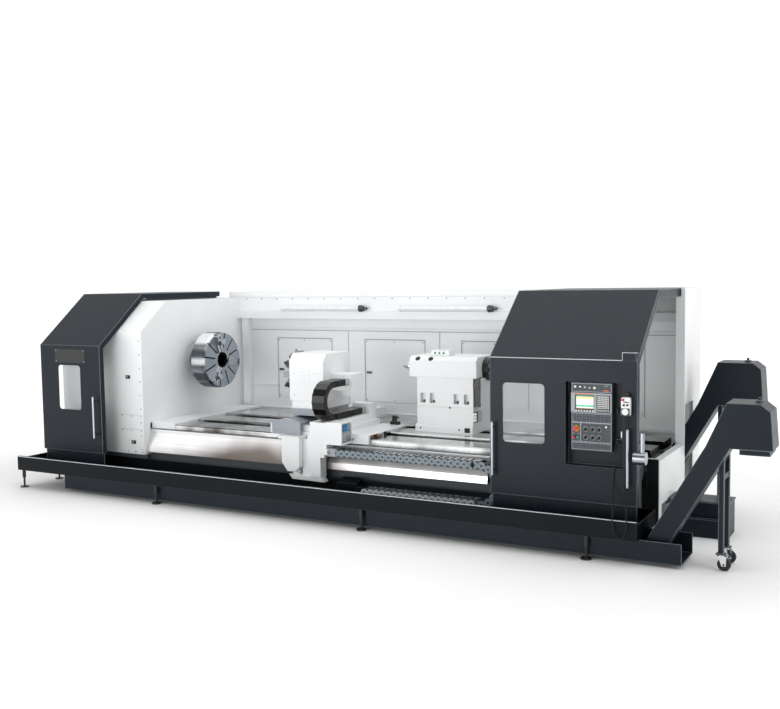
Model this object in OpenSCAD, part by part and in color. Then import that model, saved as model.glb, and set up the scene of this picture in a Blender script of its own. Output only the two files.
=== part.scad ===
// Flat-bed CNC turning lathe with sliding hoods, drum turret, tailstock and chip conveyors.
// Lengths are millimetres. Places are measured from the tray's left front corner on the floor:
// x runs from the headstock to the tailstock, y to the back, z up.
// to_origin() then sets the origin on the floor under the middle of the machine.

/* [Base] */
// Length of the sheet tray
tray_l = 7000; // [6600:10:7400]
// Depth of the sheet tray
tray_w = 600; // [560:5:620]
// Height of the tray floor's underside
tray_floor_z = 200; // [180:5:230]
// Height of the tray's rim
tray_rim_z = 355; // [320:5:380]
// Sheet thickness of the tray
tray_t = 6; // [4:1:10]
// Width of the folded lip on the rim
tray_lip = 36; // [24:2:50]
// Width of the grating slots in the tray floor
slot_w = 18; // [10:1:24]
// Pitch of the grating slots
slot_pitch = 44; // [36:2:60]
// Diameter of a tray foot plate
foot_d = 90; // [60:5:120]
// Diameter of a bed levelling pad
pad_d = 160; // [120:5:200]
// Height of a bed levelling pad
pad_h = 40; // [30:2:60]

/* [Bed] */
// Left end of the bed casting
bed_x0 = 140; // [120:5:200]
// Right end of the bed casting
bed_x1 = 6840; // [6700:10:6840]
// Front face of the bed casting
bed_y0 = 690; // [670:5:700]
// Rear face of the bed casting
bed_y1 = 2310; // [2295:5:2340]
// Height of the bed deck
bed_z = 660; // [620:5:680]
// Height of the outer slideways, which carry the saddle
outer_way_z = 715; // [700:5:725]
// Height of the inner slideways, which carry the tailstock
inner_way_z = 735; // [725:5:760]
// Width of a slideway
way_w = 300; // [280:5:310]
// Left end of the slideways
way_x0 = 1700; // [1660:10:1800]
// Distance from the spindle's plane to the middle of an inner slideway
inner_way_y = 245; // [230:5:260]
// Distance from the spindle's plane to the middle of an outer slideway
outer_way_y = 640; // [625:5:650]
// Sheet thickness of the chip guard
chip_t = 5; // [3:1:8]
// Right end of the chip guard
chip_x1 = 5470; // [5300:10:5600]
// Diameter of the ball screw
screw_d = 63; // [40:1:80]

/* [Headstock] */
// Spindle axis, distance from the tray's front
spindle_y = 1500; // [1480:5:1520]
// Spindle axis, height above the floor
spindle_z = 1372; // [1340:2:1400]
// Outer diameter of the spindle in its bearings
spindle_d = 200; // [180:2:220]
// Bore through the spindle and the chuck
bar_bore_d = 130; // [90:2:150]
// Diameter of the relieved bore between the bearings
relief_d = 320; // [290:5:340]
// Radius of the headstock casting's rounded top
head_r = 300; // [280:5:310]
// Running clearance of a shaft in its bore, on the radius
run_gap = 0.05; // [0.02:0.01:0.1]
// Clearance between sliding faces
slide_gap = 0.3; // [0.2:0.05:0.6]
// Right wall of the headstock guard
guard_x1 = 1365; // [1340:5:1380]
// Front face of the headstock guard
guard_y0 = 580; // [575:5:600]
// Height of the guard's roof
guard_z1 = 2072; // [2060:2:2076]
// Sheet thickness of the guards
guard_t = 6; // [4:1:10]
// Diameter of the spindle pulley
big_pulley_d = 420; // [380:5:460]
// Diameter of the motor pulley
small_pulley_d = 240; // [200:5:260]

/* [Chuck] */
// Chuck diameter
chuck_d = 646; // [600:2:660]
// Thickness of the chuck body
chuck_t = 195; // [160:5:200]
// Face of the chuck
chuck_x1 = 1754; // [1750:2:1760]
// Width of a T-slot in the chuck's face
tslot_w = 16; // [10:1:20]
// Width of a jaw
jaw_w = 80; // [60:2:100]
// Height of a jaw over the chuck's face
jaw_h = 90; // [70:5:110]

/* [Hoods] */
// Front plane of the hoods
hood_y0 = 300; // [290:5:320]
// Lower edge of the hoods
hood_z0 = 405; // [395:5:420]
// Height of the fold at the foot of the slope
hood_fold_z = 1597; // [1580:2:1620]
// Depth at which the slope meets the roof
hood_top_y = 990; // [960:5:1000]
// Height of the roof
hood_z1 = 2157; // [2150:1:2170]
// Rear end of the roof
hood_y1 = 2400; // [2380:5:2402]
// Sheet thickness of the hoods
hood_t = 4; // [3:0.5:6]
// Depth of the folded end flanges
hood_flange = 62; // [50:1:63]
// Left end of the left hood
left_hood_x0 = 100; // [80:5:120]
// Length of the left hood
left_hood_l = 915; // [880:5:940]
// Left end of the right hood
right_hood_x0 = 5640; // [5600:10:5700]
// Length of the right hood
right_hood_l = 1285; // [1260:5:1290]
// Thickness of the windows
glass_t = 8; // [6:1:12]
// Corner radius of the windows
glass_r = 40; // [20:2:60]
// Diameter of the bar handles
handle_d = 24; // [18:1:30]
// Stand-off of the bar handles
handle_gap = 48; // [40:2:60]
// Height of the hood rail in the tray
rail_h = 20; // [12:1:30]

/* [Operator panel] */
// Left edge of the operator panel
panel_x0 = 6366; // [6350:2:6380]
// Width of the operator panel
panel_w = 346; // [330:2:350]
// Lower edge of the operator panel
panel_z0 = 838; // [820:2:850]
// Height of the operator panel
panel_h = 566; // [540:2:570]
// Depth of the operator panel's housing
panel_d = 70; // [50:2:80]
// Depth of the recess that holds the panel
recess_d = 92; // [84:2:110]
// Diameter of the emergency stop's head
estop_d = 40; // [30:1:46]
// Diameter of the push buttons
button_d = 22; // [16:1:28]
// Diameter of the rotary switches
knob_d = 32; // [24:1:40]
// Diameter of the pendant's handwheel
wheel_d = 52; // [40:1:60]
// Outer diameter of the curly cord
cord_d = 16; // [10:1:20]

/* [Carriage] */
// Left end of the saddle
saddle_x0 = 3010; // [2980:5:3030]
// Right end of the saddle
saddle_x1 = 3990; // [3960:5:4000]
// Height of the saddle's top
saddle_z1 = 815; // [800:5:825]
// Height of the chain deck on the saddle
deck_z = 884; // [876:2:890]
// Front face of the apron
apron_y0 = 500; // [490:5:510]
// Left side of the gable cover
gable_x0 = 3085; // [3075:5:3095]
// Width of the gable cover
gable_w = 345; // [320:5:360]
// Height of the gable cover's eaves
gable_eave_z = 852; // [845:1:858]
// Height of the gable cover's ridge
gable_ridge_z = 890; // [884:1:892]
// Front face of the gable cover
gable_y0 = 615; // [605:5:625]
// Travel of the cross slide
cross_travel = 300; // [200:10:320]
// Left face of the turret housing
turret_x0 = 3185; // [3175:5:3195]
// Width of the turret housing
turret_w = 415; // [400:5:420]
// Front face of the turret housing
turret_y0 = 800; // [790:5:810]
// Depth of the turret housing
turret_l = 530; // [515:5:545]
// Underside of the turret housing's foot
turret_z0 = 968; // [960:2:976]
// Top of the turret housing
turret_z1 = 1530; // [1520:5:1540]
// Size of the turret disc across its flats
disc_d = 340; // [320:5:360]
// Thickness of the turret disc
disc_t = 80; // [74:2:90]
// Number of tool stations
stations = 12; // [8:1:12]
// Height of a tool holder over the disc
holder_h = 60; // [50:1:64]
// Diameter of a tool holder's shank
shank_d = 50; // [40:1:50]

/* [Cable chains] */
// Width of the cross chain
xchain_w = 150; // [120:5:150]
// Height of the cross chain's links
xchain_h = 64; // [56:2:66]
// Bend radius of the cross chain
xchain_r = 164; // [150:2:170]
// Width of the long chain
zchain_w = 120; // [90:5:130]
// Height of the long chain's links
zchain_h = 75; // [60:1:80]
// Bend radius of the long chain
zchain_r = 178; // [170:1:182]
// Pitch of the links
link_pitch = 74; // [66:1:90]

/* [Tailstock] */
// Left face of the tailstock's quill housing
tail_x0 = 4350; // [4330:5:4370]
// Length of the quill housing
tail_l = 740; // [700:10:780]
// Width of the quill housing
tail_w = 500; // [480:5:520]
// Height of the quill housing's top
tail_z1 = 1500; // [1490:2:1520]
// Height of the quill housing's underside
tail_z0 = 1295; // [1280:1:1300]
// Set-back of the tailstock's lower body
tail_step = 75; // [60:5:90]
// Quill diameter
quill_d = 180; // [150:2:184]
// Length that the quill stands out
quill_out = 60; // [40:2:80]
// Diameter of the live centre
centre_d = 110; // [90:2:130]
// Length of the live centre
centre_l = 152; // [130:2:170]

/* [Enclosure] */
// Face of the rear guard
rear_y0 = 2420; // [2410:5:2440]
// Thickness of the rear guard
rear_t = 90; // [70:5:100]
// Height of the rear guard
rear_z1 = 2150; // [2130:2:2156]
// Diameter of the tube lamps
lamp_d = 56; // [40:2:64]
// Outer face of the right end frame
end_x1 = 6970; // [6960:2:6990]
// Height of the low end wall
end_wall_z = 690; // [670:5:730]

/* [Chip conveyors] */
// Slope of the conveyor trunks
trunk_angle = 60; // [55:1:65]
// Depth of the conveyor trunks across the slope
trunk_t = 160; // [140:5:180]
// Width of the conveyor trunks
trunk_w = 310; // [280:5:320]
// Diameter of the caster wheels
caster_d = 100; // [80:2:110]
// Width of the caster wheels
caster_w = 34; // [26:1:40]
// Size of the square legs
leg_w = 40; // [30:1:44]
// Length of the coolant tank
tank_l = 530; // [480:10:540]
// Height of the coolant tank
tank_h = 312; // [280:2:330]

/* [Hidden] */
$fn = 64;
white = "#e8eaea";
charcoal = "#343a40";
black = "#1b1d20";
steel = "#a9adb2";
cast_iron = "#4a4e52";
box_w = rear_y0 + rear_t;

// Chuck: turn of the first jaw from the top, and the width of a guideway
jaw_turn = 20;
jaw_seat = jaw_w / 2 + 2 * slide_gap;

// Hood: points of the outer and inner sheet lines
hood_slope = atan2(hood_z1 - hood_fold_z, hood_top_y - hood_y0);
left_hood_x1 = left_hood_x0 + left_hood_l;
right_hood_x1 = right_hood_x0 + right_hood_l;
rail_y = hood_y0 + 30;
rail_z1 = tray_floor_z + tray_t + rail_h;
rear_rail_z = hood_z1 - 79;

// Panel: the recess takes in the panel and the cable slot on its right
recess_x0 = panel_x0 - 46;
recess_x1 = panel_x0 + panel_w + 96;
recess_z0 = panel_z0 - 128;
recess_z1 = panel_z0 + panel_h + 8;
panel_y1 = hood_y0 + recess_d - hood_t;
panel_y0 = panel_y1 - panel_d;
unit_y0 = panel_y0 - 6;
button_z = panel_z0 + 108;
pendant_x = 6842;
pendant_z0 = 1152;
pendant_y1 = hood_y0 - 14;

// Turret, chains and tailstock
turret_y = turret_y0 + 260;
turret_z = turret_z1 - 220;
turret_x1 = turret_x0 + turret_w;
disc_x1 = turret_x0 - 8;
disc_x0 = disc_x1 - disc_t;
xchain_x0 = turret_x1 + 60;
xchain_x1 = xchain_x0 + xchain_w;
xchain_y = 680;
xchain_top_y = turret_y0 + 150;
xchain_end_y = 1275;
xchain_z = deck_z + 2 + xchain_h / 2 + xchain_r;
zchain_y1 = tray_w - tray_t - 2;
zchain_y0 = zchain_y1 - zchain_w;
zchain_x0 = 4250;
zchain_x1 = 5440;
zchain_top_x = gable_x0 + 785;
zchain_z = tray_floor_z + tray_t + 0.5 + zchain_h / 2 + zchain_r;
tail_x1 = tail_x0 + tail_l;
tail_y0 = spindle_y - tail_w / 2;
tail_y1 = spindle_y + tail_w / 2;
quill_x0 = tail_x0 - quill_out;
motor_y = spindle_y + 650;
motor_z = bed_z + 340;
pulley_x0 = 270;
pulley_x1 = 390;
head_x0 = 430;
head_x1 = guard_x1 - 15;

// Conveyor heads: where the trunk's upper line meets the head's lower left corner
front_head_x = 7485;
front_head_z = 962;
front_head_w = 493;
front_head_h = 348;
box_l = front_head_x + front_head_w;
front_trunk_y0 = 140;
pan_y0 = foot_d / 2 + 30;
pan_y1 = 480;
rear_head_x = 7080;
rear_head_z = 1067;
rear_trunk_y0 = 1850;
leg_x = 7600;
leg_ys = [front_trunk_y0 + 70, front_trunk_y0 + trunk_w - 10];
caster_trail = 24;
caster_top = caster_d + 24;

// Points of the curly cord: down from the pendant, over the rim in front of the tray and up to its gland
cord_points = [[6842, 262, 1140], [6842, 262, 1112], [6842, 266, 1060], [6839, 274, 1010], [6837, 277, 900],
    [6835, 277, 780], [6834, 277, 660], [6835, 276, 580], [6840, 262, 535], [6854, 214, 500],
    [6874, 140, 470], [6898, 70, 440], [6912, 26, 412], [6920, -6, 384], [6924, -26, 340],
    [6922, -34, 290], [6908, -36, 246],
    [6880, -36, 218], [6850, -36, 236], [6826, -36, 275], [6815, -32, 320], [6812, -18, 368], [6806, 12, 400],
    [6796, 54, 426], [6780, 114, 458], [6760, 180, 490], [6742, 244, 525], [6732, 277, 575], [6733, 284, 640],
    [6738, 287, 720], [6743, 290, 800], [6746, 298, 860], [6746, 312, 898], [6746, 332, 912],
    [6746, 348, 912]];

// Frames and extrusions
module to_origin() { translate([-box_l / 2, -box_w / 2, 0]) children(); }
module along_x(x0, x1) { translate([x0, 0, 0]) rotate([90, 0, 90]) linear_extrude(x1 - x0) children(); }
module along_y(y0, y1) { translate([0, y1, 0]) rotate([90, 0, 0]) linear_extrude(y1 - y0) children(); }
module slab(x0, x1, y0, y1, z0, z1) { translate([x0, y0, z0]) cube([x1 - x0, y1 - y0, z1 - z0]); }
module rod_x(x0, x1, y, z, d) { translate([x0, y, z]) rotate([0, 90, 0]) cylinder(d = d, h = x1 - x0); }
module rod_y(x, y0, y1, z, d) { translate([x, y1, z]) rotate([90, 0, 0]) cylinder(d = d, h = y1 - y0); }
module rod_z(x, y, z0, z1, d) { translate([x, y, z0]) cylinder(d = d, h = z1 - z0); }
module tube_x(x0, x1, y, z, d, bore) {
    difference() {
        rod_x(x0, x1, y, z, d);
        rod_x(x0 - 1, x1 + 1, y, z, bore);
    }
}
module rectangle(x0, x1, z0, z1) { translate([x0, z0]) square([x1 - x0, z1 - z0]); }
module rounded(x0, x1, z0, z1, r) {
    rectangle(x0 + r, x1 - r, z0, z1);
    rectangle(x0, x1, z0 + r, z1 - r);
    for (x = [x0 + r, x1 - r], z = [z0 + r, z1 - r]) translate([x, z]) circle(r);
}
function reversed(list) = [for (i = [len(list) - 1:-1:0]) list[i]];

// Base tray: folded sheet trough with lip, punched grating, hood rail and chain bracket
module base_tray() {
    floor_z = tray_floor_z + tray_t;
    color(charcoal) to_origin() {
        difference() {
            union() {
                along_x(0, tray_l) tray_section();
                for (x = [0, tray_l - tray_t]) slab(x, x + tray_t, 0, tray_w, tray_floor_z, tray_rim_z - 25);
            }
            for (x = [1400:slot_pitch:2900]) slab(x, x + slot_w, 70, 280, tray_floor_z - 1, floor_z + 1);
        }
        slab(60, tray_l - 60, rail_y - 12, rail_y + 12, floor_z, rail_z1);
        along_x(zchain_x0 - 300, zchain_x0 - 85) polygon([[zchain_y0, floor_z], [zchain_y0, 315],
            [zchain_y1, 355], [zchain_y1, floor_z]]);
        slab(zchain_x0 - 86, zchain_x0 - 4, zchain_y0 + 8, zchain_y1 - 8, floor_z, floor_z + zchain_h + 4);
    }
}
module tray_section() {
    lip_z = tray_rim_z - tray_t;
    rectangle(0, tray_w, tray_floor_z, tray_floor_z + tray_t);
    rectangle(0, tray_t, tray_floor_z, tray_rim_z);
    rectangle(0, tray_lip, lip_z, tray_rim_z);
    rectangle(tray_lip - tray_t, tray_lip, lip_z - 18, tray_rim_z);
    rectangle(tray_w - tray_t, tray_w, tray_floor_z, tray_rim_z - 25);
}

// Levelling feet: screwed feet under the tray and thick pads under the bed
module levelling_feet() {
    color(black) to_origin() {
        for (x = [45, 2005, 4470, 6580], y = [foot_d / 2, tray_w - foot_d / 2 - 5]) {
            rod_z(x, y, 0, 14, foot_d);
            rod_z(x, y, 14, tray_floor_z - 60, 22);
            rod_z(x, y, tray_floor_z - 90, tray_floor_z, 38);
        }
        for (x = [300, 1500, 2700, 3900, 5100, 6250], y = [bed_y0 + 110, bed_y1 - 110]) {
            rod_z(x, y, 0, pad_h, pad_d);
        }
    }
}

// Bed: one casting with a wide foot under the headstock, two chip tunnels and a screw channel
module bed() {
    color(cast_iron) to_origin() difference() {
        union() {
            slab(bed_x0, bed_x1, bed_y0, bed_y1, pad_h, bed_z);
            slab(bed_x0, guard_x1, guard_y0 + 30, rear_y0 - 40, pad_h, 375);
        }
        along_x(bed_x0 - 1, bed_x1 + 1) bed_hollows();
        slab(6350, bed_x1 + 1, rear_trunk_y0 - 40, bed_y1 + 1, pad_h - 1, 596);
        slab(bed_x1 - 60, bed_x1 + 1, rear_trunk_y0 - 40, bed_y1 + 1, 590, bed_z + 1);
        slab(6350, bed_x1 + 1, spindle_y + inner_way_y + way_w / 2 + 5, bed_y1 + 1, 590, bed_z + 1);
        for (x = [1800:760:5600]) along_y(bed_y0 - 1, bed_y0 + 90) rounded(x, x + 420, 420, 560, 60);
    }
}
module bed_hollows() {
    for (y = [[bed_y0 + 70, spindle_y - 130], [spindle_y + 130, bed_y1 - 70]]) {
        polygon([[y[0], 130], [y[1], 130], [y[1], 520], [y[1] - 90, 590], [y[0] + 90, 590], [y[0], 520]]);
    }
    rectangle(spindle_y - 70, spindle_y + 70, 560, bed_z + 1);
}

// Slideways: four ground steel bars with bevelled edges, the inner pair for the tailstock
module slideways() {
    color(steel) to_origin() {
        for (side = [-1, 1]) {
            slideway(spindle_y + side * inner_way_y, inner_way_z, bed_x1 - 10);
            slideway(spindle_y + side * outer_way_y, outer_way_z, side < 0 ? bed_x1 - 10 : 6350);
        }
    }
}
module slideway(y, top, x1) {
    half = way_w / 2;
    along_x(way_x0, x1) polygon([[y - half, bed_z], [y + half, bed_z], [y + half, top - 12],
        [y + half - 8, top], [y - half + 8, top], [y - half, top - 12]]);
}

// Chip guard: polished sheet that slopes from the bed's front edge down over the tray, with a left end cap
module chip_guard() {
    y1 = bed_y0;
    t = chip_t;
    color(steel) to_origin() {
        along_x(guard_x1 + 2, chip_x1) polygon([[y1 - t, 650], [y1 - t, 614], [632 - t, 470],
            [624 - t, 410 - t], [y1, 410 - t], [y1, 410], [624, 410], [632, 467], [y1, 608], [y1, 650]]);
        along_x(guard_x1 + 2, guard_x1 + 12) polygon([[y1, 600], [630, 466], [622, 408], [y1, 408]]);
    }
}

// Ball screw with its two bearing blocks in the bed's channel
module ball_screw() {
    color(steel) to_origin() {
        rod_x(guard_x1 + 40, bed_x1 - 90, spindle_y, 612, screw_d);
        for (x = [guard_x1 + 60, bed_x1 - 200]) difference() {
            slab(x, x + 90, spindle_y - 60, spindle_y + 60, 560, 656);
            rod_x(x - 1, x + 91, spindle_y, 612, screw_d + 2 * run_gap);
        }
    }
}

// Headstock: cast housing with a rounded top, two bearing bores and a relieved middle
module headstock() {
    seat = 130;
    color(cast_iron) to_origin() difference() {
        union() {
            rod_x(head_x0, head_x1, spindle_y, spindle_z, 2 * head_r);
            along_x(head_x0, head_x1) polygon([[spindle_y - 260, spindle_z + 60], [spindle_y + 260,
                spindle_z + 60], [spindle_y + 380, bed_z + 140], [spindle_y + 420, bed_z],
                [spindle_y - 420, bed_z], [spindle_y - 380, bed_z + 140]]);
        }
        rod_x(head_x0 - 1, head_x1 + 1, spindle_y, spindle_z, spindle_d + 2 * run_gap);
        rod_x(head_x0 + seat, head_x1 - seat, spindle_y, spindle_z, relief_d);
    }
}

// Spindle: hollow shaft with pulley seat, shoulder and the flanged nose that carries the chuck
module spindle() {
    nose_x1 = chuck_x1 - chuck_t;
    color(steel) to_origin() difference() {
        union() {
            rod_x(240, nose_x1, spindle_y, spindle_z, spindle_d);
            rod_x(pulley_x0, pulley_x1, spindle_y, spindle_z, big_pulley_d);
            for (x = [pulley_x0 - 8, pulley_x1]) rod_x(x, x + 8, spindle_y, spindle_z, big_pulley_d + 24);
            rod_x(guard_x1 + 20, nose_x1 - 60, spindle_y, spindle_z, 300);
            rod_x(nose_x1 - 60, nose_x1, spindle_y, spindle_z, 380);
        }
        rod_x(239, nose_x1 + 1, spindle_y, spindle_z, bar_bore_d);
    }
}

// Spindle motor on its cast feet, with its pulley and the belt
module spindle_motor() {
    color(charcoal) to_origin() {
        rod_x(head_x0 + 40, head_x0 + 640, motor_y, motor_z, 380);
        rod_x(head_x0 + 640, head_x0 + 720, motor_y, motor_z, 300);
        tube_x(pulley_x1 + 10, head_x0 + 41, motor_y, motor_z, 120, 50 + 2 * run_gap);
        for (x = [head_x0 + 100, head_x0 + 480]) {
            slab(x, x + 110, motor_y - 150, motor_y + 130, bed_z, motor_z - 100);
        }
    }
}
module motor_pulley() {
    color(steel) to_origin() {
        rod_x(pulley_x0, pulley_x1, motor_y, motor_z, small_pulley_d);
        rod_x(pulley_x1, head_x0 + 38, motor_y, motor_z, 50);
        for (x = [pulley_x0 - 8, pulley_x1]) rod_x(x, x + 8, motor_y, motor_z, small_pulley_d + 24);
    }
}
module drive_belt() {
    color(black) to_origin() along_x(pulley_x0 + 5, pulley_x1 - 5) difference() {
        polygon(belt_loop(10));
        polygon(belt_loop(slide_gap));
    }
}
function arc(c, r, a0, a1, n) = let (step = (a1 - a0) / n)
    [for (i = [0:n]) c + r / cos(step / 2) * [cos(a0 + i * step), sin(a0 + i * step)]];
function belt_loop(grow) = let (big = big_pulley_d / 2 + grow, small = small_pulley_d / 2 + grow,
    run = [motor_y - spindle_y, motor_z - spindle_z], turn = atan2(run[1], run[0]),
    side = acos((big - small) / norm(run)))
    concat(arc([spindle_y, spindle_z], big, turn + side, turn + 360 - side, 32),
        arc([motor_y, motor_z], small, turn - side, turn + side, 24));

// Headstock guard: folded wrap between two end walls, a bar opening on the left, a ledge up to the slideways
module headstock_guard() {
    seam = guard_t + slide_gap;
    color(white) to_origin() {
        along_x(bed_x0 + seam, guard_x1 - seam) difference() {
            polygon(guard_outline(0));
            polygon(guard_outline(guard_t));
        }
        slab(bed_x0 + seam, guard_x1 - seam, hood_y1 - 46, hood_y1 - 10, guard_z1, rear_rail_z);
        guard_end(bed_x0, bar_bore_d + 40);
        guard_end(guard_x1 - guard_t, 420);
        slab(guard_x1 + slide_gap, way_x0 - 4, bed_y0 + 20, bed_y1 - 20, bed_z, inner_way_z);
    }
}
module guard_end(x, hole_d) {
    along_x(x, x + guard_t) difference() {
        polygon(guard_outline(0));
        translate([spindle_y, spindle_z]) circle(d = hole_d);
        rectangle(bed_y0 - 4, bed_y1 + 4, 374, outer_way_z + 6);
    }
}
function guard_outline(t) = [[guard_y0 + t, 375 - 2 * t], [guard_y0 + t, 1738 - t / 2],
    [1000 + t / 3, guard_z1 - t], [rear_y0 - 25 - t, guard_z1 - t], [rear_y0 - 25 - t, 375 - 2 * t]];

// Chuck: steel body with a stepped rim, T-slots, jaw guideways and bar bore
module chuck() {
    x0 = chuck_x1 - chuck_t;
    color(steel) to_origin() difference() {
        union() {
            rod_x(x0, chuck_x1 - 40, spindle_y, spindle_z, chuck_d);
            rod_x(chuck_x1 - 40, chuck_x1, spindle_y, spindle_z, chuck_d - 14);
        }
        rod_x(x0 - 1, chuck_x1 + 1, spindle_y, spindle_z, bar_bore_d);
        rod_x(chuck_x1 - 14, chuck_x1 + 1, spindle_y, spindle_z, bar_bore_d + 50);
        for (i = [0:11]) at_spoke(jaw_turn + 30 * i) {
            if (i % 4 > 0) slab(chuck_x1 - 26, chuck_x1 + 1, -tslot_w / 2, tslot_w / 2, 130, chuck_d / 2 + 1);
            else slab(chuck_x1 - 30, chuck_x1 + 1, -jaw_seat / 2, jaw_seat / 2, 60, chuck_d / 2 + 1);
        }
    }
}
module at_spoke(a) { translate([0, spindle_y, spindle_z]) rotate([a, 0, 0]) children(); }

// Jaws: a grooved rail keyed in the chuck's guideway, with a stepped block on its outer end
module jaw(i) {
    x0 = chuck_x1 + slide_gap;
    color(steel) to_origin() at_spoke(jaw_turn + 120 * i) difference() {
        union() {
            slab(chuck_x1 - 30 + slide_gap, x0 + 1, -jaw_w / 4, jaw_w / 4, 100, 305);
            along_y(-jaw_w / 2, jaw_w / 2) polygon([[x0, 100], [x0 + 20, 106], [x0 + 20, 200],
                [x0 + jaw_h, 206], [x0 + jaw_h, 252], [x0 + jaw_h * 0.55, 252], [x0 + jaw_h * 0.55, 305],
                [x0, 305]]);
        }
        slab(x0 + 8, x0 + 21, -9, 9, 99, 199);
        rod_x(x0 + 10, x0 + jaw_h + 1, 0, 280, 26);
    }
}
module jaw_1() { jaw(0); }
module jaw_2() { jaw(1); }
module jaw_3() { jaw(2); }

// Hoods: one folded sheet from the skirt over the slope to the roof, with flanged ends
function hood_line(d) = [
    [hood_y0 + d, hood_z0],
    [hood_y0 + d, hood_fold_z - d * cos(hood_slope) + d * (1 - sin(hood_slope)) * tan(hood_slope)],
    [hood_top_y + d * sin(hood_slope) - d * (1 - cos(hood_slope)) / tan(hood_slope), hood_z1 - d],
    [hood_y1, hood_z1 - d]];
module hood_band(x0, x1, d) {
    along_x(x0, x1) polygon(concat(hood_line(0), reversed(hood_line(d))));
}
module hood_shell(x0, x1) {
    shoe = 120;
    hood_band(x0, x1, hood_t);
    for (x = [x0, x1 - hood_t]) {
        hood_band(x, x + hood_t, hood_flange);
        slab(x, x + hood_t, hood_top_y + 70, hood_y1 - 60, guard_z1 + 9, hood_z1 - hood_t);
    }
    slab(x0, x1, hood_y0, hood_y0 + hood_flange, hood_z0, hood_z0 + hood_t);
    slab(x0, x1, hood_y1 - hood_t, hood_y1, hood_z1 - 60, hood_z1);
    slab(x0 + 6, x1 - 6, rail_y - 3, rail_y + 3, rail_z1 + 26, hood_z0 + hood_t);
    for (x = [x0 + 60, x1 - 60 - shoe]) {
        slab(x, x + shoe, rail_y - 10, rail_y + 10, rail_z1 + slide_gap, rail_z1 + 30);
        slab(x, x + shoe, hood_y1 - 44, hood_y1 - 12, rear_rail_z + slide_gap, hood_z1 - hood_t);
    }
}
module left_hood() {
    color(charcoal) to_origin() difference() {
        hood_shell(left_hood_x0, left_hood_x1);
        window_hole(left_glass());
        handle_holes(left_hood_x1 - 72, 583, 1033);
    }
}
module right_hood() {
    x1 = right_hood_x1;
    color(charcoal) to_origin() difference() {
        union() {
            hood_shell(right_hood_x0, x1);
            along_x(x1 - 125, x1 - 12) polygon([[hood_y0, hood_fold_z - 4], [hood_y0, hood_fold_z + 62],
                [hood_y0 + 78, hood_fold_z + 62], [hood_y0 + 4, hood_fold_z - 2]]);
            slab(recess_x0 - hood_t, recess_x1 + hood_t, hood_y0, hood_y0 + recess_d, recess_z0 - hood_t,
                recess_z1 + hood_t);
        }
        slab(recess_x0, recess_x1, hood_y0 - 1, hood_y0 + recess_d - hood_t, recess_z0, recess_z1);
        window_hole(right_glass());
        handle_holes(right_hood_x1 - 68, 570, 1035);
        handle_holes(right_hood_x0 + 37, 576, 1030);
    }
}

// Windows: panes that sit in rounded cut-outs of the hoods
function left_glass() = [left_hood_x0 + 272, left_hood_x0 + 618, 872, 1377];
function right_glass() = [right_hood_x0 + 115, right_hood_x0 + 501, 860, 1385];
module window_hole(g) {
    along_y(hood_y0 - 1, hood_y0 + hood_t + 1) rounded(g[0], g[1], g[2], g[3], glass_r);
}
module pane(g) {
    color("#9fb4bd") to_origin() along_y(hood_y0 + hood_t, hood_y0 + hood_t + glass_t) {
        rounded(g[0] - 18, g[1] + 18, g[2] - 18, g[3] + 18, glass_r + 10);
    }
}
module left_window() { pane(left_glass()); }
module right_window() { pane(right_glass()); }

// Handles: chrome bars on two stand-offs that pass through the hood's sheet
module handle_holes(x, z0, z1) {
    for (z = [z0 + 40, z1 - 40]) rod_y(x, hood_y0 - 1, hood_y0 + hood_t + 1, z, 10);
}
module bar_handle(x, z0, z1) {
    y = hood_y0 - handle_gap;
    rod_z(x, y, z0, z1, handle_d);
    for (z = [z0, z1]) translate([x, y, z]) sphere(d = handle_d);
    for (z = [z0 + 40, z1 - 40]) {
        rod_y(x, y, hood_y0, z, handle_d - 6);
        rod_y(x, hood_y0 - 1, hood_y0 + hood_t + 6, z, 10 - 2 * run_gap);
    }
}
module left_handle() { color("silver") to_origin() bar_handle(left_hood_x1 - 72, 583, 1033); }
module right_handles() {
    color("silver") to_origin() {
        bar_handle(right_hood_x1 - 68, 570, 1035);
        bar_handle(right_hood_x0 + 37, 576, 1030);
        rod_x(right_hood_x1 - 13, right_hood_x1 + 85, hood_y0 - 52, 818, 104);
        rod_z(right_hood_x1 + 54, hood_y0 - 52, 830, 1022, 36);
        slab(right_hood_x1 - 13, right_hood_x1 - 1, hood_y0 - 60, hood_y0, 790, 846);
    }
}

// Operator panel: framed housing with sunk fields, the screen bezel, soft keys and the raised key field
module operator_panel() {
    x0 = panel_x0;
    x1 = panel_x0 + panel_w;
    z0 = panel_z0;
    unit_z = panel_z0 + 314;
    color("#5b5f64") to_origin() difference() {
        union() {
            slab(x0, x1, panel_y0, panel_y1, z0, z0 + panel_h);
            slab(x0 - 2, x1 + 2, unit_y0, panel_y0 + 1, unit_z, unit_z + 170);
            slab(x0 + 222, x0 + 328, unit_y0 - 5, unit_y0 + 1, unit_z + 18, unit_z + 148);
            for (i = [0:6]) soft_key(x0 + 38 + i * 24, unit_z + 12);
            rod_y(cord_points[34][0], panel_y1 - 40, panel_y1, 912, 22);
        }
        field(x0 + 10, x1 - 10, z0 + 494, z0 + 556);
        field(x0 + 10, x1 - 10, z0 + 238, z0 + 306);
        field(x0 + 10, x0 + 76, z0 + 76, z0 + 228);
        field(x0 + 86, x1 - 10, z0 + 76, z0 + 228);
        field(x0 + 10, x1 - 10, z0 + 12, z0 + 62);
        slab(x0 + 44, x0 + 192, unit_y0 - 1, unit_y0 + 3, unit_z + 36, unit_z + 148);
        for (p = push_places()) rod_y(p[0], panel_y0 - 1, panel_y0 + 40, p[1], p[2] + 2 * run_gap);
        for (p = switch_places()) rod_y(p[0], panel_y0 - 1, panel_y0 + 30, p[1], 10 + 2 * run_gap);
    }
}
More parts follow.
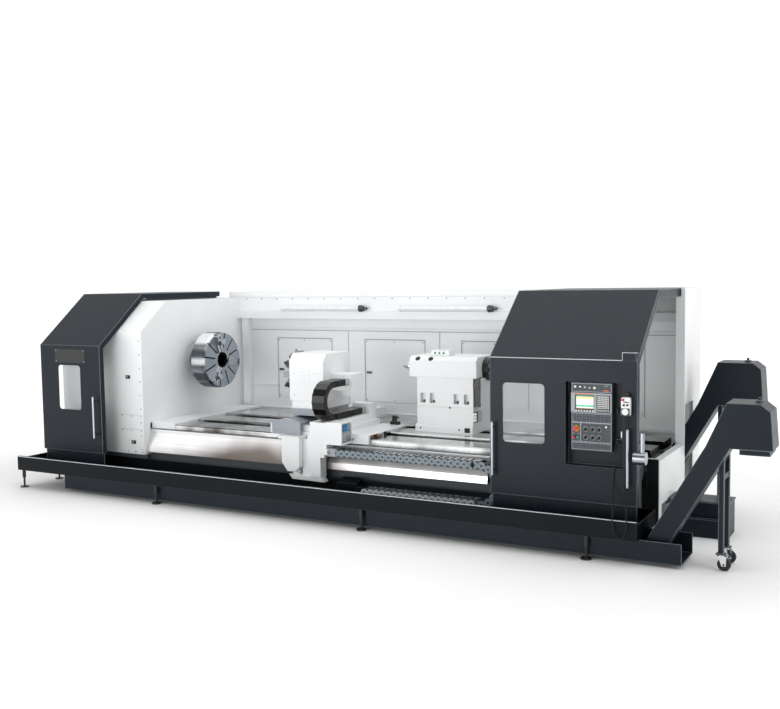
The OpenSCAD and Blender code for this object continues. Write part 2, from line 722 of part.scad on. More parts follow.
module field(x0, x1, z0, z1) { slab(x0, x1, panel_y0 - 1, panel_y0 + 4, z0, z1); }
module soft_key(x, z) { slab(x, x + 14, unit_y0 - 4, unit_y0 + 1, z, z + 12); }
function push_places() = [[panel_x0 + 40, panel_z0 + 180, 16], [panel_x0 + 24, button_z, 14],
    [panel_x0 + 60, button_z, 14]];
function switch_places() = [for (z = [178, 110], x = [122, 182, 236]) [panel_x0 + x, panel_z0 + z]];

// Push buttons and rotary switches: turned heads on stems that run in the panel's bores
module push(i, head_d, head_h) {
    p = push_places()[i];
    to_origin() {
        rod_y(p[0], panel_y0 - 12, panel_y0 + 28, p[1], p[2]);
        rod_y(p[0], panel_y0 - 12 - head_h, panel_y0 - 10, p[1], head_d);
    }
}
module emergency_stop() { color("#d02020") push(0, estop_d, 18); }
module stop_button() { color("#d02020") push(1, button_d, 8); }
module start_button() { color("#20a080") push(2, button_d, 8); }
module rotary_switch(i) {
    p = switch_places()[i];
    color(black) to_origin() {
        rod_y(p[0], panel_y0 - 4, panel_y0 + 28, p[1], 10);
        rod_y(p[0], panel_y0 - 10, panel_y0 - 1, p[1], knob_d);
        slab(p[0] - 4, p[0] + 4, panel_y0 - 24, panel_y0 - 9, p[1] - knob_d / 2 + 2, p[1] + knob_d / 2 - 2);
    }
}
module switch_1() { rotary_switch(0); }
module switch_2() { rotary_switch(1); }
module switch_3() { rotary_switch(2); }
module switch_4() { rotary_switch(3); }
module switch_5() { rotary_switch(4); }
module switch_6() { rotary_switch(5); }

// Pendant: hand unit hung on the hood by a hook plate, with its handwheel
module pendant() {
    color(white) to_origin() difference() {
        union() {
            along_y(pendant_y1 - 40, pendant_y1) {
                rounded(pendant_x - 36, pendant_x + 36, pendant_z0, pendant_z0 + 152, 14);
            }
            slab(pendant_x - 20, pendant_x + 20, pendant_y1 - 1, hood_y0, 1220, 1290);
            rod_y(pendant_x - 24, pendant_y1 - 58, pendant_y1 - 38, 1268, 18);
            rod_z(pendant_x, pendant_y1 - 24, 1140, pendant_z0 + 4, 20);
        }
        rod_y(pendant_x, pendant_y1 - 41, pendant_y1 - 20, 1188, 10 + 2 * run_gap);
    }
}
module pendant_wheel() {
    color("#d9dadb") to_origin() {
        rod_y(pendant_x, pendant_y1 - 50, pendant_y1 - 22, 1188, 10);
        rod_y(pendant_x, pendant_y1 - 54, pendant_y1 - 42, 1188, wheel_d);
        rod_y(pendant_x + wheel_d / 2 - 9, pendant_y1 - 70, pendant_y1 - 53, 1188, 10);
    }
}

// Curly cord: a plain tube of the coil's outer diameter along the route
function unit(v) = v / norm(v);
function heading(i) = unit(cord_points[min(i + 1, len(cord_points) - 1)] - cord_points[max(i - 1, 0)]);
function ring(i, sides) = let (t = heading(i), u = unit(cross(t, [1, 0.2, 0.1])), w = cross(t, u))
    [for (k = [0:sides - 1]) let (a = 360 * k / sides)
        cord_points[i] + cord_d / 2 * (cos(a) * u + sin(a) * w)];
module pendant_cord() {
    sides = 8;
    last = len(cord_points) - 1;
    points = [for (i = [0:last]) each ring(i, sides)];
    walls = [for (i = [0:last - 1], k = [0:sides - 1]) let (a = i * sides, b = (k + 1) % sides)
        [a + k, a + sides + k, a + sides + b, a + b]];
    ends = [[for (k = [0:sides - 1]) k], [for (k = [sides - 1:-1:0]) last * sides + k]];
    color(black) to_origin() polyhedron(points, concat(walls, ends));
}

// Saddle: bridge over the slideways, wings, apron column, boxes, skirt and chain deck
module saddle() {
    outer0 = spindle_y - outer_way_y - way_w / 2;
    outer1 = spindle_y + outer_way_y + way_w / 2;
    wing_z = outer_way_z + slide_gap;
    wing_z1 = inner_way_z + 22;
    x0 = saddle_x0;
    x1 = saddle_x1;
    wing_x1 = x1 + 200;
    bridge_x1 = gable_x0 + gable_w + 45;
    col = gable_x0 + 195;
    y0 = apron_y0;
    chain_z = zchain_z + zchain_r;
    face = xchain_x1 + 40;
    end = xchain_end_y + slide_gap;
    color(white) to_origin() difference() {
        union() {
            slab(x0, x1 - 90, outer0 - 20, spindle_y - 80, inner_way_z + 15, saddle_z1);
            slab(x0, bridge_x1, spindle_y - 81, outer1, inner_way_z + 15, saddle_z1);
            slab(x0, bridge_x1, outer1 - way_w, outer1, wing_z, inner_way_z + 16);
            slab(x0, wing_x1, outer0 - 16, outer0 + way_w + 35, wing_z, wing_z1);
            slab(x1 - 91, wing_x1, outer0 + way_w, spindle_y - 30, inner_way_z + 1, wing_z1);
            along_y(outer0 - 34, outer0 - 2) polygon([[x1 - 18, 668], [x1 + 90, wing_z1], [wing_x1, wing_z1],
                [wing_x1, 668]]);
            slab(gable_x0 + 155, col + 209, y0, outer0 - 19, 696, 720);
            slab(gable_x0 + 60, x1 - 90, outer0 - 50, outer0 - 2, 696, saddle_z1 - 64);
            along_y(y0, y0 + 100) polygon([[col, 697], [col, 457], [col + 66, 370], [col + 160, 374],
                [col + 208, 424], [col + 208, 697]]);
            along_y(y0 + 8, y0 + 84) polygon([[col + 76, 344], [col + 120, 296], [col + 498, 290],
                [col + 460, 340]]);
            slab(col + 120, col + 180, y0 + 20, y0 + 84, 340, 380);
            slab(col + 200, col + 344, y0 + 70, y0 + 108, 336, 697);
            slab(col + 343, col + 460, y0, y0 + 108, 336, 540);
            along_y(y0, y0 + 140) polygon([[col + 312, 531], [col + 312, 738], [col + 343, 768],
                [col + 343, deck_z], [col + 532, deck_z], [col + 532, 640], [col + 508, 600],
                [col + 508, 536]]);
            slab(col + 531, x1, y0, outer0 - 2, 672, deck_z + 8);
            slab(col + 507, zchain_top_x - 2, zchain_y0 + 10, zchain_y1 - 10, chain_z - 30, chain_z + 30);
            slab(col + 343, face, y0 + 130, end + 8, saddle_z1 - 30, deck_z);
            along_x(face - 200, face) polygon([[end, saddle_z1 - 30], [end, 988], [end + 118, 988],
                [end + 150, 974], [end + 164, 942], [end + 164, saddle_z1 - 30]]);
        }
        slab(x1 - 70, x1 + 1, y0 + 18, outer0 - 20, 690, deck_z - 6);
        slab(x1 - 20, wing_x1 + 1, outer0 + 60, outer0 + way_w - 40, wing_z - 1, inner_way_z + 6);
    }
}

// Gable cover: ridged plate over the cross ways, its bolted front plate and the slats beside it
module gable_cover() {
    mid = gable_x0 + gable_w / 2;
    x1 = gable_x0 + gable_w;
    z0 = saddle_z1;
    color("#9aa0a8") to_origin() {
        along_y(gable_y0, gable_y0 + 24) polygon([[gable_x0, 722], [x1, 722], [x1, gable_eave_z],
            [mid, gable_ridge_z], [gable_x0, gable_eave_z]]);
        along_y(gable_y0 + 24, turret_y0 + cross_travel - 10) polygon([[gable_x0 + 8, z0], [x1 - 8, z0],
            [x1 - 8, gable_eave_z - 5], [mid, gable_ridge_z - 6], [gable_x0 + 8, gable_eave_z - 5]]);
        for (x = [gable_x0 + 30, mid - 60, mid + 60, x1 - 30]) rod_y(x, gable_y0 - 8, gable_y0 + 1, 782, 20);
        slab(x1 + 50, x1 + 185, gable_y0 + 80, turret_y0 + cross_travel, z0, z0 + 18);
        for (i = [0:5]) {
            slat = gable_y0 + 84 + i * 66;
            slab(x1 + 52, x1 + 183, slat, slat + 56, z0 + 17, z0 + 28);
        }
    }
}

// Cross slide: front plate over the gable cover, and an arched carrier that straddles it behind
module cross_slide() {
    mid = gable_x0 + gable_w / 2;
    x1 = gable_x0 + gable_w;
    y0 = turret_y0 - 10;
    y1 = turret_y0 + turret_l - 10;
    color("#9aa0a8") to_origin() difference() {
        union() {
            slab(turret_x0 + 25, turret_x1 - 20, y0, y1, gable_ridge_z + 8, turret_z0);
            slab(gable_x0 - 45, x1 + 45, y0 + 300, y1, saddle_z1 + slide_gap, turret_z0 - 6);
        }
        along_y(y0 - 10, y1 + 10) polygon([[gable_x0, saddle_z1 - 5], [x1, saddle_z1 - 5],
            [x1, gable_eave_z + 4], [mid, gable_ridge_z + 8], [gable_x0, gable_eave_z + 4]]);
    }
}

// Turret housing: cast box with a bevelled front, narrower foot and the chain's end box
module turret_housing() {
    y1 = turret_y0 + turret_l;
    foot_z1 = turret_z0 + 80;
    color(white) to_origin() {
        difference() {
            along_x(turret_x0, turret_x1) polygon([[turret_y0, foot_z1], [turret_y0, turret_z1 - 75],
                [turret_y0 + 65, turret_z1], [y1 - 30, turret_z1], [y1, turret_z1 - 50], [y1, foot_z1]]);
            rod_x(turret_x0 - 1, turret_x0 + 90, turret_y, turret_z, 100 + 2 * run_gap);
        }
        slab(turret_x0 + 25, turret_x1 - 20, turret_y0 + 6, y1 - 10, turret_z0, foot_z1 + 1);
        slab(turret_x1 - 1, xchain_x1 + 30, xchain_top_y, xchain_top_y + 240, 1150, 1320);
        tube_x(disc_x1 + slide_gap, turret_x0 + 1, turret_y, turret_z, 180, 100 + 2 * run_gap);
    }
}

// Turret disc: twelve-sided drum with a turned hub
module turret_disc() {
    flat_r = disc_d / 2 / cos(180 / stations);
    color("#c9ccd0") to_origin() difference() {
        union() {
            translate([disc_x0, turret_y, turret_z]) rotate([0, 90, 0]) rotate(180 / stations) {
                cylinder(r = flat_r, h = disc_t, $fn = stations);
            }
            rod_x(disc_x0 - 22, disc_x0 + 1, turret_y, turret_z, 150);
            rod_x(disc_x1 - 1, turret_x0 + 80, turret_y, turret_z, 100);
        }
        rod_x(disc_x0 - 23, disc_x0 + 30, turret_y, turret_z, 60);
        for (i = [0:stations - 1]) at_station(i) {
            rod_z(disc_x0 + disc_t / 2, 0, disc_d / 2 - 40, disc_d / 2 + 1, shank_d);
        }
    }
}
module at_station(i) {
    translate([0, turret_y, turret_z]) rotate([360 * i / stations, 0, 0]) children();
}

// Tool holders: shanked blocks on the disc's flats, turning tools and boring sleeves in turn
module tool_holders() {
    x = disc_x0 + disc_t / 2;
    r = disc_d / 2;
    color(black) to_origin() for (i = [0:stations - 1]) at_station(i) {
        rod_z(x, 0, r - 38, r + 2, shank_d - 2 * run_gap);
        slab(x - 36, x + 36, -32, 32, r, r + holder_h);
        if (i % 2 == 0) slab(x - 48, x - 34, -12, 12, r + 8, r + holder_h + 18);
        else rod_x(x - 50, x - 34, 0, r + holder_h / 2, 34);
    }
}

// Cable chains: side plates with round joints and bridged covers, in two runs and a rolling bend
module chain_link(w, h, pitch) {
    plate = 10;
    for (y = [0, w - plate]) along_y(y, y + plate) {
        circle(h * 0.48);
        rectangle(-pitch / 2, pitch / 2, -h * 0.36, h * 0.36);
    }
    for (z = [-h / 2, h / 2 - 8]) slab(-pitch * 0.36, pitch * 0.36, 1, w - 1, z, z + 8);
}
module chain_run(w, h, run) {
    lap = 0.5;
    links = floor(run / link_pitch);
    pitch = (run - lap) / links;
    for (i = [0:links - 1]) translate([-(i + 0.5) * pitch - lap / 2, 0, 0]) chain_link(w, h, pitch + lap);
}
module chain_bend(w, h, r) {
    plate = 10;
    links = ceil(PI * r / link_pitch);
    half = 90 / links;
    ring = h * 0.36;
    translate([max(0, h * 0.48 - r * sin(half)) + slide_gap, 0, 0]) {
        for (y = [0, w - plate]) along_y(y, y + plate) {
            polygon(concat(arc([0, 0], r + ring, -90, 90, 28), reversed(arc([0, 0], r - ring, -90, 90, 28))));
            for (i = [0:links - 1]) rotate(half * (2 * i + 1) - 90) translate([r, 0]) circle(h * 0.48);
        }
        for (i = [0:links - 1]) rotate([0, half * (2 * i + 1), 0]) {
            slab(-22, 22, 1, w - 1, r + h / 2 - 12, r + h / 2);
            slab(-16, 16, 1, w - 1, r - h / 2, r - h / 2 + 12);
        }
    }
}
module at_long_chain(z) { translate([zchain_x1, zchain_y0, zchain_z + z]) children(); }
module at_cross_chain(z) {
    translate([xchain_x0, xchain_y, xchain_z + z]) rotate(-90) children();
}
module long_chain() {
    color("#3b444b") to_origin() {
        at_long_chain(zchain_r) chain_run(zchain_w, zchain_h, zchain_x1 - zchain_top_x);
        at_long_chain(-zchain_r) chain_run(zchain_w, zchain_h, zchain_x1 - zchain_x0);
    }
}
module long_bend() { color("#3b444b") to_origin() at_long_chain(0) chain_bend(zchain_w, zchain_h, zchain_r); }
module cross_chain() {
    color(black) to_origin() {
        at_cross_chain(xchain_r) chain_run(xchain_w, xchain_h, xchain_top_y - xchain_y);
        at_cross_chain(-xchain_r) chain_run(xchain_w, xchain_h, xchain_end_y - xchain_y);
    }
}
module cross_bend() { color(black) to_origin() at_cross_chain(0) chain_bend(xchain_w, xchain_h, xchain_r); }

// Tailstock: bored quill housing over a stepped body with bolt pockets, a seam and a clamped foot
module tailstock() {
    foot_z = inner_way_z + slide_gap;
    x0 = tail_x0 + tail_step;
    x1 = tail_x1 - 45;
    y0 = tail_y0 + 20;
    color(white) to_origin() difference() {
        union() {
            along_x(tail_x0, tail_x1) polygon([[tail_y0, tail_z0], [tail_y0, tail_z1 - 40],
                [tail_y0 + 40, tail_z1], [tail_y1 - 40, tail_z1], [tail_y1, tail_z1 - 40],
                [tail_y1, tail_z0]]);
            slab(x0, x1, y0, tail_y1 - 20, 996, tail_z0 + 1);
            slab(x0 + 3, x1 - 3, y0 + 3, tail_y1 - 23, 990, 997);
            slab(x0, x1, y0, tail_y1 - 20, 812, 990);
            along_x(x0 - 15, x1) polygon([[tail_y0, foot_z], [tail_y0, foot_z + 60], [y0 + 6, 815],
                [tail_y1 - 26, 815], [tail_y1, foot_z + 60], [tail_y1, foot_z]]);
            slab(tail_x0 + 200, tail_x0 + 400, spindle_y - 150, spindle_y - 10, tail_z1 - 1, tail_z1 + 56);
        }
        rod_x(tail_x0 - 1, tail_x1 + 1, spindle_y, spindle_z, quill_d + 2 * run_gap);
        for (x = pocket_x()) slab(x, x + 56, y0 - 1, y0 + 40, 1030, 1130);
    }
}
function pocket_x() = [for (s = [38, 144, 408, 520]) tail_x0 + tail_step + s];

// Tail cylinder: rear flange, rod and valve block with its gauge
module tail_cylinder() {
    color("#6d7379") to_origin() {
        rod_x(tail_x1, tail_x1 + 60, spindle_y, spindle_z, 230);
        rod_x(tail_x1 + 60, tail_x1 + 320, spindle_y - 30, spindle_z, 60);
        rod_x(tail_x1 + 60, tail_x1 + 240, spindle_y + 60, spindle_z - 40, 40);
        slab(tail_x1 - 45, tail_x1 + 20, tail_y0 + 40, tail_y0 + 190, 1010, tail_z0);
        rod_y(tail_x1 - 10, tail_y0 + 14, tail_y0 + 41, 1230, 66);
        slab(tail_x1 - 45, tail_x1 - 5, tail_y0 + 30, tail_y0 + 120, 860, 960);
    }
}
module quill() {
    color(steel) to_origin() difference() {
        rod_x(quill_x0, tail_x1 - 90, spindle_y, spindle_z, quill_d);
        rod_x(quill_x0 - 1, quill_x0 + 120, spindle_y, spindle_z, centre_d * 0.6 + 2 * run_gap);
    }
}
module live_centre() {
    body = centre_l * 0.4;
    color(steel) to_origin() {
        rod_x(quill_x0 - body, quill_x0 - slide_gap, spindle_y, spindle_z, centre_d);
        rod_x(quill_x0 - 1, quill_x0 + 110, spindle_y, spindle_z, centre_d * 0.6);
        translate([quill_x0 - centre_l, spindle_y, spindle_z]) rotate([0, 90, 0]) {
            cylinder(d1 = 3, d2 = centre_d, h = centre_l - body);
        }
    }
}

// Rear guard: box-section wall with top rail, sloped gutter, beam, ledges and feet
module rear_guard() {
    x0 = guard_x1;
    x1 = end_x1 - 85;
    y1 = rear_y0 + rear_t;
    color(white) to_origin() difference() {
        union() {
            along_x(x0, x1) polygon([[rear_y0, 380], [y1, 380], [y1, rear_z1], [hood_y1 + 6, rear_z1],
                [hood_y1 + 6, rear_rail_z], [hood_y1 - 46, rear_rail_z], [hood_y1 - 46, rear_rail_z - 20],
                [2330, 1915], [2300, 1912], [2300, 1820], [rear_y0, 1820], [rear_y0, 1712],
                [rear_y0 - 14, 1712], [rear_y0 - 14, 1696], [rear_y0, 1696], [rear_y0, 720],
                [rear_y0 - 40, 720], [rear_y0 - 40, 690], [rear_y0, 690]]);
            slab(x0 - 200, x0 + 1, hood_y1 + 6, y1, rear_rail_z, rear_z1);
            slab(x0 + 40, x0 + 140, 2340, rear_y0, 720, 1821);
            for (x = [x0, 2900, 4400, x1 - 90]) slab(x, x + 90, rear_y0, y1, 0, 381);
        }
        for (x = panel_places()) along_y(rear_y0 - 1, rear_y0 + 12) rounded(x, x + 790, 840, 1578, 8);
    }
}
function gutter_y(z) = 2330 + (z - 1915) / (rear_rail_z - 20 - 1915) * (hood_y1 - 46 - 2330);
function panel_places() = [1894, 3145, 4396, 5647];
module access_panels() {
    color("#dfe1e2") to_origin() for (x = panel_places()) {
        along_y(rear_y0 + 1, rear_y0 + 12) rounded(x + 5, x + 785, 845, 1573, 6);
        rod_y(x + 60, rear_y0 - 14, rear_y0 + 2, 1190, 30);
        slab(x + 30, x + 90, rear_y0 - 22, rear_y0 - 12, 1180, 1200);
    }
}

// Work lamps: glass tubes with end caps and brackets on the gutter
module work_lamps() {
    y = 2285;
    z = 1946;
    color("#f4f5f5") to_origin() for (x = [2051, 3673]) {
        rod_x(x + 40, x + 1120, y, z, lamp_d);
        for (e = [x, x + 1120]) {
            rod_x(e, e + 40, y, z, lamp_d + 8);
            along_x(e + 10, e + 30) {
                polygon([[y, z - 18], [gutter_y(z - 18), z - 18], [gutter_y(z + 18), z + 18], [y, z + 18]]);
            }
        }
    }
}

// End frame: rear post of folded sheet, low end wall and its dark front column
module end_frame() {
    x0 = end_x1 - 85;
    color(white) to_origin() difference() {
        union() {
            slab(x0, end_x1, 1800, rear_y0 + rear_t, 300, 2160);
            slab(x0 + 15, end_x1, 870, 1801, 300, end_wall_z);
            slab(bed_x1 + 15, end_x1, 850, 872, 120, end_wall_z + 20);
            slab(x0 + 15, end_x1, 870, 940, 0, 301);
            slab(x0, end_x1, rear_y0, rear_y0 + rear_t, 0, 301);
        }
        slab(x0 - 1, end_x1 - guard_t, 1800 + guard_t, rear_y0 + rear_t - guard_t, 299, 2160 - guard_t);
        slab(x0 - 1, end_x1 - 38, 1799, hood_y1 + 4, hood_z1 - 80, 2161);
        slab(x0 - 1, end_x1 + 1, rear_trunk_y0 - 20, rear_trunk_y0 + trunk_w + 20, 299, rear_head_z);
    }
}

// Chip conveyors: trunk at a slope, bevelled head with an open chute, pan or tail box, legs
module trunk_profile(x, z, drop) {
    dx = drop / tan(trunk_angle);
    across = trunk_t / sin(trunk_angle);
    polygon([[x, z + 2], [x - dx, z - drop], [x - dx + across, z - drop], [x + across, z + 2]]);
}
module head_profile(x, z, w, h) {
    polygon([[x, z], [x + h * 0.445, z + h], [x + w - 95, z + h], [x + w - 22, z + h - 56], [x + w, z]]);
}
module chute(x0, x1, y0, y1, z) {
    difference() {
        slab(x0, x1, y0, y1, z - 42, z + 1);
        slab(x0 + 6, x1 - 6, y0 + 6, y1 - 6, z - 43, z - 6);
    }
}
module front_conveyor() {
    y0 = front_trunk_y0;
    y1 = y0 + trunk_w;
    top = front_head_z + front_head_h;
    color(charcoal) to_origin() {
        along_y(y0, y1) trunk_profile(front_head_x, front_head_z, front_head_z - 70);
        along_y(y0, y1) head_profile(front_head_x, front_head_z, front_head_w, front_head_h);
        chute(7735, 7955, y0 + 8, y1 - 8, front_head_z);
        along_x(650, 7330) difference() {
            rectangle(pan_y0, pan_y1, 30, tray_floor_z);
            rectangle(pan_y0 + 6, pan_y1 - 6, 36, tray_floor_z + 1);
        }
        slab(650, 656, pan_y0 + 2, pan_y1 - 2, 32, tray_floor_z);
        slab(655, 7100, pan_y0 + 5, pan_y1 - 5, 60, 78);
        for (y = leg_ys) difference() {
            union() {
                slab(leg_x - leg_w / 2, leg_x + leg_w / 2, y - leg_w / 2, y + leg_w / 2, caster_top + 6, 900);
                slab(leg_x - 36, leg_x + 36, y - 36, y + 36, caster_top, caster_top + 7);
            }
            rod_z(leg_x, y, caster_top - 1, caster_top + 41, 16 + 2 * run_gap);
        }
        slab(leg_x - 15, leg_x + 15, leg_ys[0], leg_ys[1], 700, 740);
        rod_z(front_head_x + 370, (y0 + y1) / 2, top - 1, top + 14, 60);
        rod_z(front_head_x + 370, (y0 + y1) / 2, top + 13, top + 36, 22);
    }
}
module rear_conveyor() {
    y0 = rear_trunk_y0;
    y1 = y0 + trunk_w;
    x = rear_head_x;
    z = rear_head_z;
    color(charcoal) to_origin() {
        along_y(y0, y1) trunk_profile(x, z, z - 120);
        along_y(y0, y1) head_profile(x, z, 580, 402);
        chute(x + 330, x + 550, y0 + 8, y1 - 8, z);
        slab(6400, 6760, y0, y1, 20, 240);
        for (y = [y0 + 40, y1 - 40]) {
            slab(x + 180, x + 220, y - leg_w / 2, y + leg_w / 2, 12, z + 1);
            rod_z(x + 200, y, 0, 13, 80);
            rod_z(6440, y, 0, 21, 60);
        }
        rod_z(x + 420, (y0 + y1) / 2, z + 401, z + 416, 60);
        rod_z(x + 420, (y0 + y1) / 2, z + 415, z + 438, 22);
    }
}
module coolant_tank() {
    x0 = end_x1;
    color(charcoal) to_origin() {
        slab(x0, x0 + tank_l - 70, 1112, 1440, 0, 160);
        slab(x0 + 10, x0 + tank_l - 8, 1160, 1440, 0, tank_h - 12);
        slab(x0, x0 + tank_l, 1150, 1448, tank_h - 12, tank_h);
    }
}

// Casters: swivel forks under the conveyor legs and their wheels
module caster_fork(y) {
    axle_x = leg_x + caster_trail;
    z = caster_d / 2;
    cheek = caster_w / 2 + 2;
    color("silver") to_origin() difference() {
        union() {
            rod_z(leg_x, y, caster_d + 14, caster_top - slide_gap, 52);
            rod_z(leg_x, y, caster_top - 1, caster_top + 40, 16);
            slab(leg_x - 26, axle_x + 20, y - cheek - 6, y + cheek + 6, caster_d + 6, caster_d + 15);
            for (y0 = [y - cheek - 6, y + cheek]) along_y(y0, y0 + 6) polygon([[leg_x - 20, caster_d + 14],
                [axle_x - 16, z - 12], [axle_x + 16, z - 12], [axle_x + 20, caster_d + 14]]);
        }
        rod_y(axle_x, y - 60, y + 60, z, 14 + 2 * run_gap);
    }
}
module caster_wheel(y) {
    axle_x = leg_x + caster_trail;
    color("#d8d8d4") to_origin() {
        rod_y(axle_x, y - caster_w / 2, y + caster_w / 2, caster_d / 2, caster_d);
        rod_y(axle_x, y - caster_w / 2 - 12, y + caster_w / 2 + 12, caster_d / 2, 14);
    }
}
module caster_fork_1() { caster_fork(leg_ys[0]); }
module caster_fork_2() { caster_fork(leg_ys[1]); }
module caster_wheel_1() { caster_wheel(leg_ys[0]); }
module caster_wheel_2() { caster_wheel(leg_ys[1]); }

base_tray();
levelling_feet();
bed();
slideways();
chip_guard();
ball_screw();
headstock();
headstock_guard();
spindle_motor();
motor_pulley();
drive_belt();
spindle();
chuck();
jaw_1();
jaw_2();
jaw_3();
left_hood();
left_window();
left_handle();
right_hood();
right_window();
right_handles();
operator_panel();
emergency_stop();
start_button();
stop_button();
switch_1();
switch_2();
switch_3();
switch_4();
switch_5();
switch_6();
pendant();
pendant_wheel();
pendant_cord();
saddle();
gable_cover();
long_chain();
long_bend();
cross_slide();
turret_housing();
cross_chain();
cross_bend();
turret_disc();
tool_holders();
tailstock();
tail_cylinder();
quill();
live_centre();
rear_guard();
access_panels();
work_lamps();
end_frame();
front_conveyor();
rear_conveyor();
coolant_tank();
caster_fork_1();
caster_fork_2();
caster_wheel_1();
caster_wheel_2();
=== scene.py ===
# %% [markdown]
# # A large flat-bed turning lathe
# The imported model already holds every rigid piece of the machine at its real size. This lesson adds what
# the solids leave out: a camera, the curly pendant cord, paints and metals, chain links, keys, screws and
# gaskets.

# %% Load the frame
import math

import bmesh
import bpy
from mathutils import Euler, Matrix, Vector


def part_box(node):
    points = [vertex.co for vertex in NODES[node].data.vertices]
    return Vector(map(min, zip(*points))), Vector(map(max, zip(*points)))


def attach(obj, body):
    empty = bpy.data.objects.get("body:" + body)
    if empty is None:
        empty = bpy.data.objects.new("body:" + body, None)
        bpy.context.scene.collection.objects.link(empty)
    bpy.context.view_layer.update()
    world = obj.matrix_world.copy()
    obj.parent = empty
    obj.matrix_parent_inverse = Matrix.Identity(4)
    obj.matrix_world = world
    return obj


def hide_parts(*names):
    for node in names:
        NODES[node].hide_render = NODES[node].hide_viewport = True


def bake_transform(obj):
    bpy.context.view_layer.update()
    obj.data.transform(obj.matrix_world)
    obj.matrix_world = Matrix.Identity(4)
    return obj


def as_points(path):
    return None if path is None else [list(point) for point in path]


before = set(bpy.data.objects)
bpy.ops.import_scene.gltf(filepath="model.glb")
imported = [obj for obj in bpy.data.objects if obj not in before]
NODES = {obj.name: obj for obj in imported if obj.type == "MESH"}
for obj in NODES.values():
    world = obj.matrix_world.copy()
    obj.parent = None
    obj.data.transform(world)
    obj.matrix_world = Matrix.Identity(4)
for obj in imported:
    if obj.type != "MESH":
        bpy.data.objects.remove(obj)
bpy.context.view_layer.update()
MODEL_ORIGIN = Vector((3.989, 1.255, 0.0))


def spot(x, y, z):
    """A place in millimetres from the machine's left front floor corner, as metres in the model's frame."""
    return Vector((x, y, z)) / 1000 - MODEL_ORIGIN


# %% [markdown]
# ## Camera
# The photograph was taken from the right front, a little above eye height. Its view point and angles were
# found from edges of known size, so the lens is written as a focal length in pixels of the 780 pixel wide
# picture. A Track To constraint would aim the camera too, but it couldn't hold the picture's slight roll.

# %% Camera
PICTURE_W = 780
FOCAL_PIXELS = 978.6
CAMERA_PLACE = (4.992, -8.754, 2.28)
YAW, PITCH, ROLL = (math.radians(a) for a in (29.02, 4.40, 0.85))

camera = bpy.data.objects.new("camera", bpy.data.cameras.new("camera"))
bpy.context.scene.collection.objects.link(camera)
ahead = Vector((-math.sin(YAW) * math.cos(PITCH), math.cos(YAW) * math.cos(PITCH), -math.sin(PITCH)))
level = Vector((math.cos(YAW), math.sin(YAW), 0))
down = ahead.cross(level)
right = math.cos(ROLL) * level + math.sin(ROLL) * down
down = math.cos(ROLL) * down - math.sin(ROLL) * level
aim = Matrix((right, -down, -ahead)).transposed().to_4x4()
camera.matrix_world = Matrix.Translation(CAMERA_PLACE) @ aim
camera.data.sensor_width = 36
camera.data.lens = FOCAL_PIXELS * camera.data.sensor_width / PICTURE_W
camera.data.clip_end = 200
bpy.context.scene.camera = camera
print("lens", round(camera.data.lens, 2), "mm")

# %% [markdown]
# ## Writing node trees as sums
# Materials and geometry trees are both graphs of sockets. Wiring each node by hand hides the formula, so
# `Wire` wraps one socket, and `1 - mask * 0.3` adds its Math nodes by itself. `add` makes any other node:
# its settings are set first, then its sockets.


# %% Node helpers
class Wire:
    """One output socket of a node tree. Python's operators on it add Math nodes."""

    def __init__(self, tree, socket):
        self.tree, self.socket = tree, socket

    def math(self, operation, *values):
        return add(self.tree, "ShaderNodeMath", {"operation": operation}, dict(enumerate(values)))

    def __add__(self, other): return self.math("ADD", self, other)
    def __radd__(self, other): return self.math("ADD", other, self)
    def __sub__(self, other): return self.math("SUBTRACT", self, other)
    def __rsub__(self, other): return self.math("SUBTRACT", other, self)
    def __mul__(self, other): return self.math("MULTIPLY", self, other)
    def __rmul__(self, other): return self.math("MULTIPLY", other, self)
    def __truediv__(self, other): return self.math("DIVIDE", self, other)
    def __gt__(self, other): return self.math("GREATER_THAN", self, other)
    def __lt__(self, other): return self.math("LESS_THAN", self, other)


def add(tree, kind, settings=None, inputs=None, out=0):
    """A new node: settings first, then each socket's value or link. Returns one of its outputs as a Wire."""
    node = tree.nodes.new(kind)
    for name, value in (settings or {}).items():
        setattr(node, name, value)
    for key, value in (inputs or {}).items():
        if isinstance(value, Wire):
            tree.links.new(value.socket, node.inputs[key])
        else:
            node.inputs[key].default_value = value
    return Wire(tree, node.outputs[out])


def hypotenuse(a, b):
    """How far a point is from zero, when two wires give its two sides."""
    squares = a * a + b * b
    return squares.math("SQRT", squares)


# %% [markdown]
# ## Finishes
# Sheet metal on a machine tool is powder coated: an even colour, a faint orange peel, and edges that catch
# the light because the sheet is folded, not cut sharp. Bevelling every solid would be heavy, so a Bevel
# node rounds those edges in the shading. All patterns read Object coordinates, which are metres in the
# model's frame.

# %% Finish helpers
FOLD_RADIUS = 0.006


